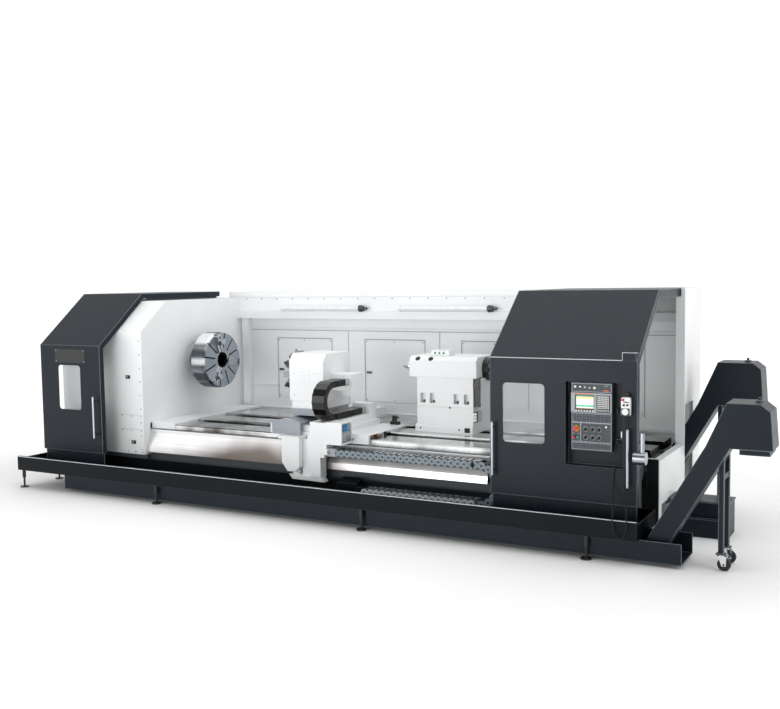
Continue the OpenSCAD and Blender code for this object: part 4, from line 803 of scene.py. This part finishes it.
# %% Cross chain
XCHAIN_Y, XCHAIN_END, BRACKET_Y, XCHAIN_R = 680, 1275, 950, 164
cross_low, cross_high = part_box("cross_bend")
cross_middle = ((cross_low + cross_high) / 2).x
cross_z = (cross_low.z + cross_high.z) / 2
cross_place = Matrix.Translation((cross_middle, spot(0, XCHAIN_Y, 0).y, cross_z))
cross_run = cable_chain(
    "cross_chain", chain_black, 0.058, cross_high.x - cross_low.x, 0.064, XCHAIN_R / 1000,
    (BRACKET_Y - XCHAIN_Y) / 1000, (XCHAIN_END - XCHAIN_Y) / 1000,
    cross_place @ Matrix.Rotation(-math.pi / 2, 4, "Z"), 1.16)
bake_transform(cross_run["upper"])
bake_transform(cross_run["lower"])
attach(cross_run["bend"], "cross_bend")
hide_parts("cross_chain")
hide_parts("cross_bend")
print("cross chain faces:", sum(len(run.data.polygons) for run in cross_run.values()))
tell("cord and chains")

# %% [markdown]
# ## Operator panel
# The panel is a grey plate with dark fields: connectors on top, a screen unit, three groups of keys, an
# emergency stop with two push buttons, six rotary switches and three more groups of keys. The screen shows
# plain colour bars. Its finish draws them by comparing height with limits, so no picture file is needed.

# %% Screen
PANEL_X, PANEL_Z = 6366, 838
PANEL_FACE, FIELD_FACE, UNIT_FACE = 318, 322, 312
UNIT_Z = PANEL_Z + 314

screen_glow = Finish("screen_glow")
screen_low, screen_high = UNIT_Z + 36, UNIT_Z + 148
share = (screen_glow.axis("Z") * 1000 - screen_low) / (screen_high - screen_low)
picture = screen_glow.mix(screen_glow.noise(120, 2), rgb("d9d9d6"), rgb("e6e6e4"))
SCREEN_BARS = (
    (0.0, 0.06, "c9a56a"), (0.14, 0.26, "2fae86"), (0.74, 0.86, "ecd45c"), (0.88, 1.0, "13796c"))
for low, high, code in SCREEN_BARS:
    picture = screen_glow.mix(screen_glow.inside(share, low, high), picture, rgb(code))
screen_glow.set(Base_Color=picture, Roughness=0.12, Emission_Color=picture, Emission_Strength=0.35)
boxes("screen", "right_hood", screen_glow, [
    ((PANEL_X + 44.5, UNIT_FACE + 1, screen_low + 0.5),
     (PANEL_X + 191.5, UNIT_FACE + 2.9, screen_high - 0.5))], 0.0004)
BEZEL_BARS = (
    (0, 152, 346, 168), (0, 2, 346, 9), (0, 10, 34, 151), (196, 10, 218, 151), (332, 10, 346, 151))
boxes("screen_bezel", "right_hood", unit_grey, [
    ((PANEL_X + a, UNIT_FACE - 2.5, UNIT_Z + b), (PANEL_X + c, UNIT_FACE - 0.1, UNIT_Z + d))
    for a, b, c, d in BEZEL_BARS], 0.001)
boxes("bezel_strip", "right_hood", orange_plastic, [
    ((PANEL_X + 24, UNIT_FACE - 3.6, UNIT_Z + 155), (PANEL_X + 182, UNIT_FACE - 2.6, UNIT_Z + 162))], 0.0003)
tell("screen unit")

# %% Panel frames and keys
LINE = 5
FIELDS = (
    (10, 336, 494, 556), (10, 336, 238, 306), (10, 76, 76, 228), (86, 336, 76, 228), (10, 336, 12, 62))
frames = []
for x0, x1, z0, z1 in FIELDS:
    for a, b, c, d in ((x0 - LINE, x1 + LINE, z0 - LINE, z0), (x0 - LINE, x1 + LINE, z1, z1 + LINE),
                       (x0 - LINE, x0, z0, z1), (x1, x1 + LINE, z0, z1)):
        frames.append(((PANEL_X + a, PANEL_FACE - 1.6, PANEL_Z + c),
                       (PANEL_X + b, PANEL_FACE - 0.1, PANEL_Z + d)))
boxes("panel_frames", "right_hood", unit_grey, frames, 0.0004)
for name, x, z, y, columns, rows, key in (
        ("soft_keys", (45, 189), (18, 18), UNIT_FACE - 5, 7, 1, (14, 12, 3)),
        ("letter_keys", (232, 318), (60, 140), UNIT_FACE - 6.4, 8, 6, (9, 10, 3)),
        ("cursor_keys", (232, 318), (26, 46), UNIT_FACE - 6.4, 6, 2, (11, 8, 3))):
    key_rows(name, "right_hood", light_plastic, [PANEL_X + v for v in x], [UNIT_Z + v for v in z],
             y, columns, rows, key)
for bank, (z, rows) in {"upper": ((250, 294), 3), "lower": ((26, 48), 2)}.items():
    for i, (x, columns) in enumerate((((24, 96), 4), ((132, 204), 4), ((252, 316), 3))):
        key_rows(f"{bank}_keys_{i + 1}", "right_hood", key_grey, [PANEL_X + v for v in x],
                 [PANEL_Z + v for v in z], FIELD_FACE - 2, columns, rows, (15, 13 if rows == 3 else 12, 4))
tell("panel frames and keys")

# %% Panel fittings
CAPS = (
    ("usb_cap", light_plastic, 32, 530, 11), ("socket_cap", light_plastic, 198, 524, 11),
    ("key_switch", chrome, 78, 530, 8), ("toggle_1", light_plastic, 116, 528, 7),
    ("toggle_2", light_plastic, 156, 524, 7), ("counter_button", light_plastic, 296, 204, 10),
    ("lamp_1", green_plastic, 128, 506, 5), ("lamp_2", green_plastic, 196, 504, 5),
    ("pilot_1", unit_grey, 26, 138, 6), ("pilot_2", unit_grey, 60, 138, 6))
for name, finish, x, z, size in CAPS:
    lathe_turned(name, "right_hood", finish, [(size, 0), (size, 4), (size * 0.8, 7), (size * 0.3, 8)],
                 spot(PANEL_X + x, FIELD_FACE, PANEL_Z + z), FRONT, 20)
for name, finish, x, z in (("orange_tag", orange_plastic, (272, 316), (500, 508)),
                           ("grey_tag", unit_grey, (276, 314), (540, 546))):
    boxes(name, "right_hood", finish, [
        ((PANEL_X + x[0], FIELD_FACE - 2, PANEL_Z + z[0]),
         (PANEL_X + x[1], FIELD_FACE - 0.2, PANEL_Z + z[1]))], 0.0004)
lathe_turned("stop_plate", "right_hood", yellow_plastic,
             [(26, 0), (26, 5), (24, 6.5), (16, 6.5), (16, 0.5)],
             spot(PANEL_X + 42, FIELD_FACE, PANEL_Z + 180), FRONT, 40)
dial_rings = [(PANEL_X + x, FIELD_FACE, PANEL_Z + z) for z in (178, 110) for x in (122, 182, 236)]
screws("dial_rings", "right_hood", unit_grey, dial_rings, FRONT, 44, 1.4, 40)
tell("panel fittings")

# %% [markdown]
# ## Pendant
# The hand unit hangs by a hook. It has its own red stop, two selector knobs and a handwheel, and a tapered
# boot where the lead leaves it. The knobs and the boot could be plain cylinders with bevels. A profile of a
# few pairs of radius and height, spun about an axis, gives their steps and tapers in one call.

# %% Pendant fittings
PENDANT_X, PENDANT_FACE = 6842, 246
boxes("pendant_hook", "right_hood", black_plastic, [
    ((PENDANT_X - 26, PENDANT_FACE + 6, 1304), (PENDANT_X + 26, PENDANT_FACE + 34, 1322)),
    ((PENDANT_X - 20, PENDANT_FACE + 30, 1296), (PENDANT_X + 20, 299, 1340))], 0.003)
boxes("pendant_base", "right_hood", black_plastic,
      [((PENDANT_X - 34, PENDANT_FACE - 0.8, 1152), (PENDANT_X + 34, PENDANT_FACE + 0.5, 1216))], 0.0006)
boxes("pendant_legend", "right_hood", black_plastic,
      [((PENDANT_X - 24, PENDANT_FACE - 0.8, 1262), (PENDANT_X + 26, PENDANT_FACE + 0.5, 1270))], 0.0003)
for name, finish, x, z, size in (
        ("pendant_stop", red_plastic, -22, 1284, 11), ("pendant_knob_1", black_plastic, -14, 1242, 9),
        ("pendant_knob_2", black_plastic, 16, 1242, 9)):
    lathe_turned(name, "right_hood", finish, [(size, 0), (size, 5), (size * 0.9, 9), (size * 0.5, 10)],
                 spot(PENDANT_X + x, PENDANT_FACE, z), FRONT, 24)
BOOT = [(13, 0), (13, 6), (10, 10), (10.5, 14), (8, 18), (8.5, 22), (6, 34), (4.4, 40)]
lathe_turned("pendant_boot", "right_hood", black_rubber, BOOT,
             CORD_ROUTE[0] + Vector((0, 0, 0.012)), (0, 0, -1), 24)
tell("pendant")

# %% [markdown]
# ## Hoods
# The panes sit in rubber beads. A bead is a round section swept along the rounded outline of the window. The
# plate on the left hood is bare and dark. A pale strip along the right hood's fold is a painted highlight; it
# steps up at a notch in its corner. A pale strip along the tray's top edge is a painted highlight as well. A
# thin frame lies round the panel's recess, and a skirt sheet reaches down into the tray. These are flat
# strips, so bevelled blocks are enough for them.

# %% Window beads and plate
ARC_STEPS = 8


def bead(name, body, finish, x, z, y, corner, width):
    """A round bead along a rounded rectangle on a front face."""
    points = []
    for cx, cz, start in ((x[1] - corner, z[1] - corner, 0), (x[0] + corner, z[1] - corner, 90),
                          (x[0] + corner, z[0] + corner, 180), (x[1] - corner, z[0] + corner, 270)):
        for i in range(ARC_STEPS + 1):
            a = math.radians(start + 90 * i / ARC_STEPS)
            points.append(spot(cx + corner * math.cos(a), y, cz + corner * math.sin(a)))
    outline = line_of(name, points)
    outline.splines[0].use_cyclic_u = True
    return piece(name, swept(name, outline, width / 1000, 2), body, finish)


HOOD_FACE = 300
for side, x, z in (("left", (372, 718), (872, 1377)), ("right", (5755, 6141), (860, 1385))):
    bead(f"{side}_bead", f"{side}_hood", black_rubber, x, z, HOOD_FACE + 0.5, 40, 9)
boxes("bare_plate", "left_hood", black_steel,
      [((338, HOOD_FACE - 3, 1403), (793, HOOD_FACE - 0.1, 1553))], 0.001)
screws("plate_screws", "left_hood", chrome,
       [(x, HOOD_FACE - 4, z) for x in (352, 779) for z in (1417, 1539)], FRONT, 10, 3, 10)
tell("window beads and plate")

# %% Edges of the right hood and the tray
HOOD_START, HOOD_END = 5640, 6925
NOTCH_X, FOLD_Z, NOTCH_Z = HOOD_END - 125, 1597, 1659
RECESS_X, RECESS_Z = (6320, 6808), (710, 1412)
# Painted highlight: a pale strip along the fold of the right hood, stepping up at the notch.
boxes("fold_hem", "right_hood", edge_grey, [
    ((HOOD_START + 2, HOOD_FACE - 2, FOLD_Z - 3), (NOTCH_X, HOOD_FACE + 1, FOLD_Z + 3)),
    ((NOTCH_X - 2, HOOD_FACE - 2, FOLD_Z + 3), (NOTCH_X + 2, HOOD_FACE + 1, NOTCH_Z)),
    ((NOTCH_X - 2, HOOD_FACE - 2, NOTCH_Z), (HOOD_END - 2, HOOD_FACE + 1, NOTCH_Z + 4))], 0.0008)
boxes("right_skirt", "right_hood", charcoal_coat,
      [((HOOD_START + 10, 322, 262), (HOOD_END - 10, 328, 404))], 0.001)
strips = [((x - 3, x + 3), (RECESS_Z[0] - 7, RECESS_Z[1] + 7)) for x in (RECESS_X[0] - 4, RECESS_X[1] + 4)]
strips += [(RECESS_X, (z - 3, z + 3)) for z in (RECESS_Z[1] + 4, RECESS_Z[0] - 4)]
boxes("recess_frame", "right_hood", tray_coat,
      [((x[0], HOOD_FACE - 2, z[0]), (x[1], HOOD_FACE - 0.1, z[1])) for x, z in strips], 0.0008)
# Painted highlight: a pale strip along the tray's top edge.
boxes("tray_edge", "base", edge_grey, [((0, -1, 350), (7000, 5, 356))], 0.0015)
boxes("recess_latch", "right_hood", black_plastic, [
    ((6738, 344, 938), (6800, 386, 950)), ((6772, 352, 950), (6798, 386, 1004)),
    ((6736, 366, 1150), (6750, 386, 1200))], 0.003)
boxes("latch_lever", "right_hood", handle_steel, [((6778, 338, 956), (6792, 354, 1012))], 0.004)
tell("edges of the right hood and the tray")

# %% [markdown]
# ## Headstock guard
# A folded guard is held by button screws in rows, and two black latches keep its front doors shut. A seam
# between two sheets could be a real gap, but that would let light through a thin solid. A flat grey strip
# shows the same line.

# %% Guard screws and latches
GUARD_FACE = 580
HEAD_Y = GUARD_FACE - 2
LATCHES = ((1155, 1236), (1211, 508))
guard_rows = row((1330, HEAD_Y, 430), (1330, HEAD_Y, 1640), 9)
for start, end, z in ((1050, 1330, 640), (1050, 1330, 800), (1130, 1340, 400)):
    guard_rows += row((start, HEAD_Y, z), (end, HEAD_Y, z), 3)
screws("guard_screws", "base", dark_steel, guard_rows, FRONT, 13, 4, 10)
boxes("guard_seams", "base", seam_grey, [
    ((1022, GUARD_FACE - 1, z), (1340, GUARD_FACE + 1, z + 5)) for z in (652, 812)], 0.0004)
boxes("guard_latches", "base", black_plastic, [
    ((x - 32, GUARD_FACE - 7, z - 20), (x + 32, GUARD_FACE + 1, z + 20)) for x, z in LATCHES], 0.003)
screws("latch_keys", "base", chrome, [(x - 10, GUARD_FACE - 9, z) for x, z in LATCHES], FRONT, 20, 5, 16)
tell("headstock guard")

# %% [markdown]
# ## Tailstock
# The tailstock has deep pockets with a clamp bolt in each, black plugs, a valve panel with a gauge, and rods
# at its back. The pockets are in the solid. Bolts, plugs and lamps are all screw heads with other numbers of
# sides, so one tree makes them.

# %% Tailstock front
TAIL_FACE = 1270
PLUGS = (4440, 4586)
screws("pocket_bolts", "tailstock", black_steel,
       [(x + 34, TAIL_FACE + 30, 1046) for x in (4463, 4569, 4833, 4945)], FRONT, 30, 22, 6)
screws("top_plugs", "tailstock", black_plastic, [(x, 1266, 1476) for x in PLUGS], (0, -1, 1), 54, 8, 28)
boxes("plug_slots", "tailstock", dark_steel,
      [((x - 15, 1257, 1481), (x + 15, 1260, 1484)) for x in PLUGS], 0.0006)
screws("valve_lamps", "tailstock", green_plastic,
       [(x, 1348, 1530) for x in (4594, 4642, 4690)], FRONT, 24, 6, 16)
screws("foot_screws", "tailstock", dark_steel,
       [(4470, 1249, 775), (4900, 1249, 775), (4790, TAIL_FACE - 2, 992)], FRONT, 20, 6, 12)
boxes("wiper_notch", "tailstock", black_rubber, [((4958, 1247, 752), (5018, 1256, 800))], 0.004)
tell("tailstock front")

# %% Tailstock back
TAIL_END, FLANGE_R = 5152, 98
PORTS = (880, 910, 940)
screws("gauge_glass", "tailstock", light_plastic, [(5080, 1280, 1230)], FRONT, 54, 4, 32)
screws("valve_ports", "tailstock", orange_plastic, [(5064, 1279, z) for z in PORTS], FRONT, 16, 10, 10)
boxes("solenoids", "tailstock", light_plastic,
      [((5048, 1262, z - 12), (5082, 1281, z + 12)) for z in PORTS], 0.003)
lathe_turned("tail_rod", "tailstock", chrome, [(31, 0), (31, 252), (28, 256)],
             spot(TAIL_END, 1470, AXIS_Z), RIGHT, 28)
lathe_turned("tail_guide", "tailstock", chrome, [(21, 0), (21, 172), (18, 176)],
             spot(TAIL_END, 1560, 1332), RIGHT, 24)
boxes("valve_panel", "tailstock", white_coat, [((5042, 1305, 1006), (5112, 1462, 1292))], 0.003)
lathe_turned("gauge_rim", "tailstock", grey_steel, [(36, 0), (36, 30), (33, 33), (27, 33), (27, 30)],
             spot(5080, 1312, 1230), FRONT, 32)
boxes("valve_block", "tailstock", light_coat, [((5042, 1296, 858), (5088, 1394, 962))], 0.004)
bolt_turns = [k * math.pi / 4 + 0.4 for k in range(8)]
screws("flange_bolts", "tailstock", dark_steel,
       [(TAIL_END, AXIS_Y + FLANGE_R * math.cos(a), AXIS_Z + FLANGE_R * math.sin(a)) for a in bolt_turns],
       RIGHT, 22, 14, 6)
tell("tailstock back")

# %% [markdown]
# ## Carriage
# The carriage holds the end clips of both chains, a lubricator, wipers that sweep the ways and louvres on
# the turret's housing. On the machine these are small bought parts that are bolted on, so each is a few
# bevelled blocks with its screws, on the body that carries it.

# %% Chain clips
for name, body, y, z in (("lower_clip", "saddle", (1208, 1274), 918),
                         ("upper_clip", "cross_slide", (884, 949), 1246)):
    boxes(name, body, unit_grey, [((3655, y[0], z - 35), (3815, y[1], z + 35))], 0.004)
    screws(name + "_bolts", body, chrome,
           [(3817, y[0] + a, z + b) for a in (16, 48) for b in (-20, 0, 20)], RIGHT, 12, 6, 10)
boxes("long_clip", "saddle", unit_grey, [((3868, 470, 562), (3936, 593, 638))], 0.004)
screws("long_clip_bolts", "saddle", chrome,
       [(x, 468, z) for x in (3886, 3918) for z in (580, 620)], FRONT, 12, 6, 10)
tell("chain clips")

# %% Carriage fittings
LOUVRE_ROWS = (1232, 1270, 1308, 1346)
boxes("way_slats", "saddle", black_rubber, [((3479, 694, 816), (3616, 1101, 834))] + [
    ((3481, 698 + i * 66, 833), (3614, 757 + i * 66, 844)) for i in range(6)], 0.002)
boxes("lubricator_tank", "saddle", blue_plastic, [((3921, 546, 800), (3984, 627, 874))], 0.004)
boxes("lubricator_block", "saddle", grey_steel, [
    ((3921, 522, 694), (3980, 688, 798)), ((3978, 540, 704), (3988, 600, 790)),
    ((3978, 612, 720), (3986, 676, 784))], 0.003)
boxes("way_wiper", "saddle", black_rubber, [
    ((4184, 716, 700), (4197, 860, 752)), ((4184, 980, 700), (4197, 1040, 752))], 0.003)
screws("wiper_screws", "saddle", orange_plastic, [(4198, y, 738) for y in (736, 840)], RIGHT, 18, 8, 10)
screws("housing_screws", "cross_slide", dark_steel,
       [(x, 799, z) for x in (3240, 3490) for z in (1110, 1330)], FRONT, 9, 3, 8)
screws("bracket_screws", "cross_slide", dark_steel,
       [(x, 949, 1302) for x in (3670, 3710, 3750)], FRONT, 10, 4, 8)
boxes("housing_louvres", "cross_slide", white_coat, [
    ((x, 795, z), (x + 66, 801, z + 16)) for x in (3282, 3374) for z in LOUVRE_ROWS], 0.003)
boxes("stop_block", "saddle", black_steel, [
    ((4020, 1420, 757), (4120, 1470, 790)), ((4040, 1428, 788), (4084, 1464, 850)),
    ((4060, 1440, 820), (4112, 1460, 838))], 0.004)
tell("carriage")

# %% [markdown]
# ## Rear wall
# The rear wall is a row of folded sheets with four access doors. Each door shows a fine gap on three sides,
# a pull and six screws, and each lamp tube ends in a turned clamp. The gaps are thin grey strips here too,
# because cutting them would split the wall's solid.

# %% Rear wall fittings
WALL_FACE = 2420
DOORS, DOOR_SPAN, DOOR_RISE = (1894, 3145, 4396, 5647), 790, (840, 1578)
SEAM_PLACES = (2919, 4124, 5416)


def seam(x, z):
    """Opposite corners of a thin strip on the rear wall, from spans of x and z."""
    return (x[0], WALL_FACE - 3, z[0]), (x[1], WALL_FACE + 1, z[1])


screws("rail_screws", "base", dark_steel, row((1480, 2352, 2060), (6780, 2352, 2060), 24), FRONT, 14, 5, 10)
door_screws = [(x + a, WALL_FACE, z) for x in DOORS for a in (24, 395, 766) for z in (866, 1552)]
screws("panel_screws", "base", dark_steel, door_screws, FRONT, 12, 5, 10)
seams = []
low, high = DOOR_RISE
for x in DOORS:
    end = x + DOOR_SPAN
    seams += [seam((x - 7, x + 5), (low - 7, high + 7)), seam((end - 5, end + 7), (low - 7, high + 7)),
              seam((x + 6, end - 6), (high - 5, high + 7))]
seams += [seam((x - 5, x + 5), (730, 1670)) for x in SEAM_PLACES]
seams += [seam((1510, 6780), (1672, 1681))]
boxes("panel_seams", "base", seam_grey, seams, 0.001)
boxes("wall_ledge", "base", white_coat, [((1510, 2405, 985), (1884, WALL_FACE + 1, 1002))], 0.002)
boxes("panel_pulls", "base", dark_steel, [((x + 28, 2396, 1177), (x + 92, 2409, 1203)) for x in DOORS], 0.003)
tell("rear wall")

# %% Lamp clamps and end plate
LAMPS, LAMP_LENGTH = (2051, 3673), 1100
CLAMP = [(34, 0), (40, 8), (40, 34), (33, 42), (33, 60), (16, 66), (16, 104), (9, 112)]
for i, x in enumerate(LAMPS):
    lathe_turned(f"lamp_clamp_{i + 1}", "base", dark_steel, CLAMP,
                 spot(x + LAMP_LENGTH, 2285, 1946), RIGHT, 28)
boxes("end_plate", "base", black_steel, [((6858, 843, 130), (6964, 850, 704))], 0.002)
tell("lamp clamps and end plate")

# %% [markdown]
# The backs of the rear wall and of the guard are plain sheets too. They are joined at upright seams, with a
# row of screws on each side of a seam and along the edges.

# %% Backs of the walls
BACK_FACE, GUARD_BACK, GUARD_LEFT = 2510, 2395, 240
boxes("back_seams", "base", seam_grey,
      [((x - 5, BACK_FACE - 1, 390), (x + 5, BACK_FACE + 1.5, 2140)) for x in SEAM_PLACES], 0.0006)
back_rows = []
for x in SEAM_PLACES:
    for side in (-34, 34):
        back_rows += row((x + side, BACK_FACE, 440), (x + side, BACK_FACE, 2100), 9)
for z in (412, 2122):
    back_rows += row((1420, BACK_FACE, z), (6700, BACK_FACE, z), 23)
screws("back_screws", "base", dark_steel, back_rows, BACK, 13, 4, 10)
guard_back = [p for x in (290, 1320) for p in row((x, GUARD_BACK, 420), (x, GUARD_BACK, 2020), 9)]
screws("guard_back_screws", "base", dark_steel, guard_back, BACK, 13, 4, 10)
guard_left = row((GUARD_LEFT, 612, 420), (GUARD_LEFT, 612, 1700), 8)
guard_left += row((GUARD_LEFT, 2362, 420), (GUARD_LEFT, 2362, 2030), 9)
screws("guard_left_screws", "base", dark_steel, guard_left, LEFT, 13, 4, 10)
tell("backs of the walls")

# %% [markdown]
# ## Chip conveyor
# A hinged belt of steel slats lies in the trough in front of the bed and carries chips to the raised head.
# The slats are one bar set down along the trough. An Array modifier would do, but the tree of the keys is
# there already.

# %% Belt slats
BELT_X, BELT_Y, BELT_TOP = (700, 7040), (150, 440), 78
SLATS, SLAT_WIDTH, SLAT_DEPTH = 107, 0.052, 0.014
belt_mesh = grow(key_tree, bpy.data.meshes.new("belt"), dark_steel, Columns=SLATS, Rows=1,
                 Width=(BELT_X[1] - BELT_X[0]) / 1000, Height=0.0,
                 Key=(SLAT_WIDTH, (BELT_Y[1] - BELT_Y[0]) / 1000, SLAT_DEPTH))
belt_mesh.transform(Matrix.Translation(spot(sum(BELT_X) / 2, sum(BELT_Y) / 2, BELT_TOP)))
piece("belt_slats", belt_mesh, "base", dark_steel)
tell("conveyor belt")

# %% [markdown]
# ## Studio
# The product picture has a white ground and soft light from all sides. A pale floor with a bright world
# gives the contact shadow. The world is dim high up in front, so that dark paint stays dark, and pale along
# the skyline on every side. Soft boxes above, on the left and on the right draw the highlights on the folds,
# and a low card in front lights the face of the right hood.

# %% Floor
FLOOR_REACH = 60
# Outside an ellipse of about this size the floor glows, so that it runs into the white ground
GLOW_X, GLOW_Y = 5.4, 3.6
floor_shape = bmesh.new()
bmesh.ops.create_grid(floor_shape, x_segments=1, y_segments=1, size=FLOOR_REACH)
floor_mesh = bpy.data.meshes.new("floor")
floor_shape.to_mesh(floor_mesh)
floor_shape.free()
floor_coat = Finish("floor_coat")
across, away = floor_coat.axis("X") / GLOW_X, floor_coat.axis("Y") / GLOW_Y
distance = hypotenuse(across, away)
bright = floor_coat.add("MapRange", {"interpolation_type": "SMOOTHSTEP"}, {
    "Value": distance, "From Min": 0.85, "From Max": 1.7, "To Min": 0.0, "To Max": 0.5})
ground = floor_coat.mix(floor_coat.noise(0.8, 2), rgb("f6f6f6"), rgb("fbfbfb"))
floor_coat.set(Base_Color=ground, Roughness=0.7, Emission_Strength=1.0,
               Emission_Color=floor_coat.mix(bright, (0, 0, 0, 1), (1, 1, 1, 1)))
floor = piece("floor", floor_mesh, None, floor_coat)
tell("floor")

# %% World
DIM, BRIGHT = 0.05, 1.05
world = bpy.data.worlds.new("studio")
world.use_nodes = True
studio = world.node_tree
direction = add(studio, "ShaderNodeTexCoord", out="Generated")
toward = add(studio, "ShaderNodeSeparateXYZ", None, {0: direction}, "Y")
upward = add(studio, "ShaderNodeSeparateXYZ", None, {0: direction}, "Z")
behind = add(studio, "ShaderNodeMapRange", {"interpolation_type": "SMOOTHSTEP"}, {
    "Value": toward, "From Min": -0.5, "From Max": 0.25, "To Min": DIM, "To Max": BRIGHT})
skyline = add(studio, "ShaderNodeMapRange", {"interpolation_type": "SMOOTHSTEP"}, {
    "Value": upward, "From Min": 0.12, "From Max": 0.36, "To Min": BRIGHT, "To Max": DIM})
strength = behind.math("MAXIMUM", behind, skyline)
studio.links.new(strength.socket, studio.nodes["Background"].inputs["Strength"])
studio.nodes["Background"].inputs["Color"].default_value = (1, 1, 1, 1)
bpy.context.scene.world = world
bpy.context.scene.view_settings.view_transform = "Standard"
print("world strength:", DIM, "to", BRIGHT)


# %% Soft boxes
def soft_box(name, place, aim, size, power):
    """A rectangular light that points at a place and isn't seen itself."""
    light = bpy.data.lights.new(name, "AREA")
    light.shape, light.size, light.size_y, light.energy = "RECTANGLE", *size, power
    lamp = bpy.data.objects.new(name, light)
    bpy.context.scene.collection.objects.link(lamp)
    lamp.visible_camera = False
    lamp.location = place
    lamp.rotation_euler = (Vector(aim) - Vector(place)).to_track_quat("-Z", "Y").to_euler()


soft_box("top_box", (0.5, -1.0, 7.5), (0, 0, 0.8), (13, 7), 310)
soft_box("left_box", (-7, -8, 4.5), (-1, 0, 1), (9, 6), 230)
soft_box("front_card", (-1.2, -8.2, 1.3), (2.5, -1, 1.2), (5, 2.4), 145)
soft_box("right_box", (10, -3, 4), (3, 0, 1), (5, 5), 170)
print("lights:", len(bpy.data.lights))
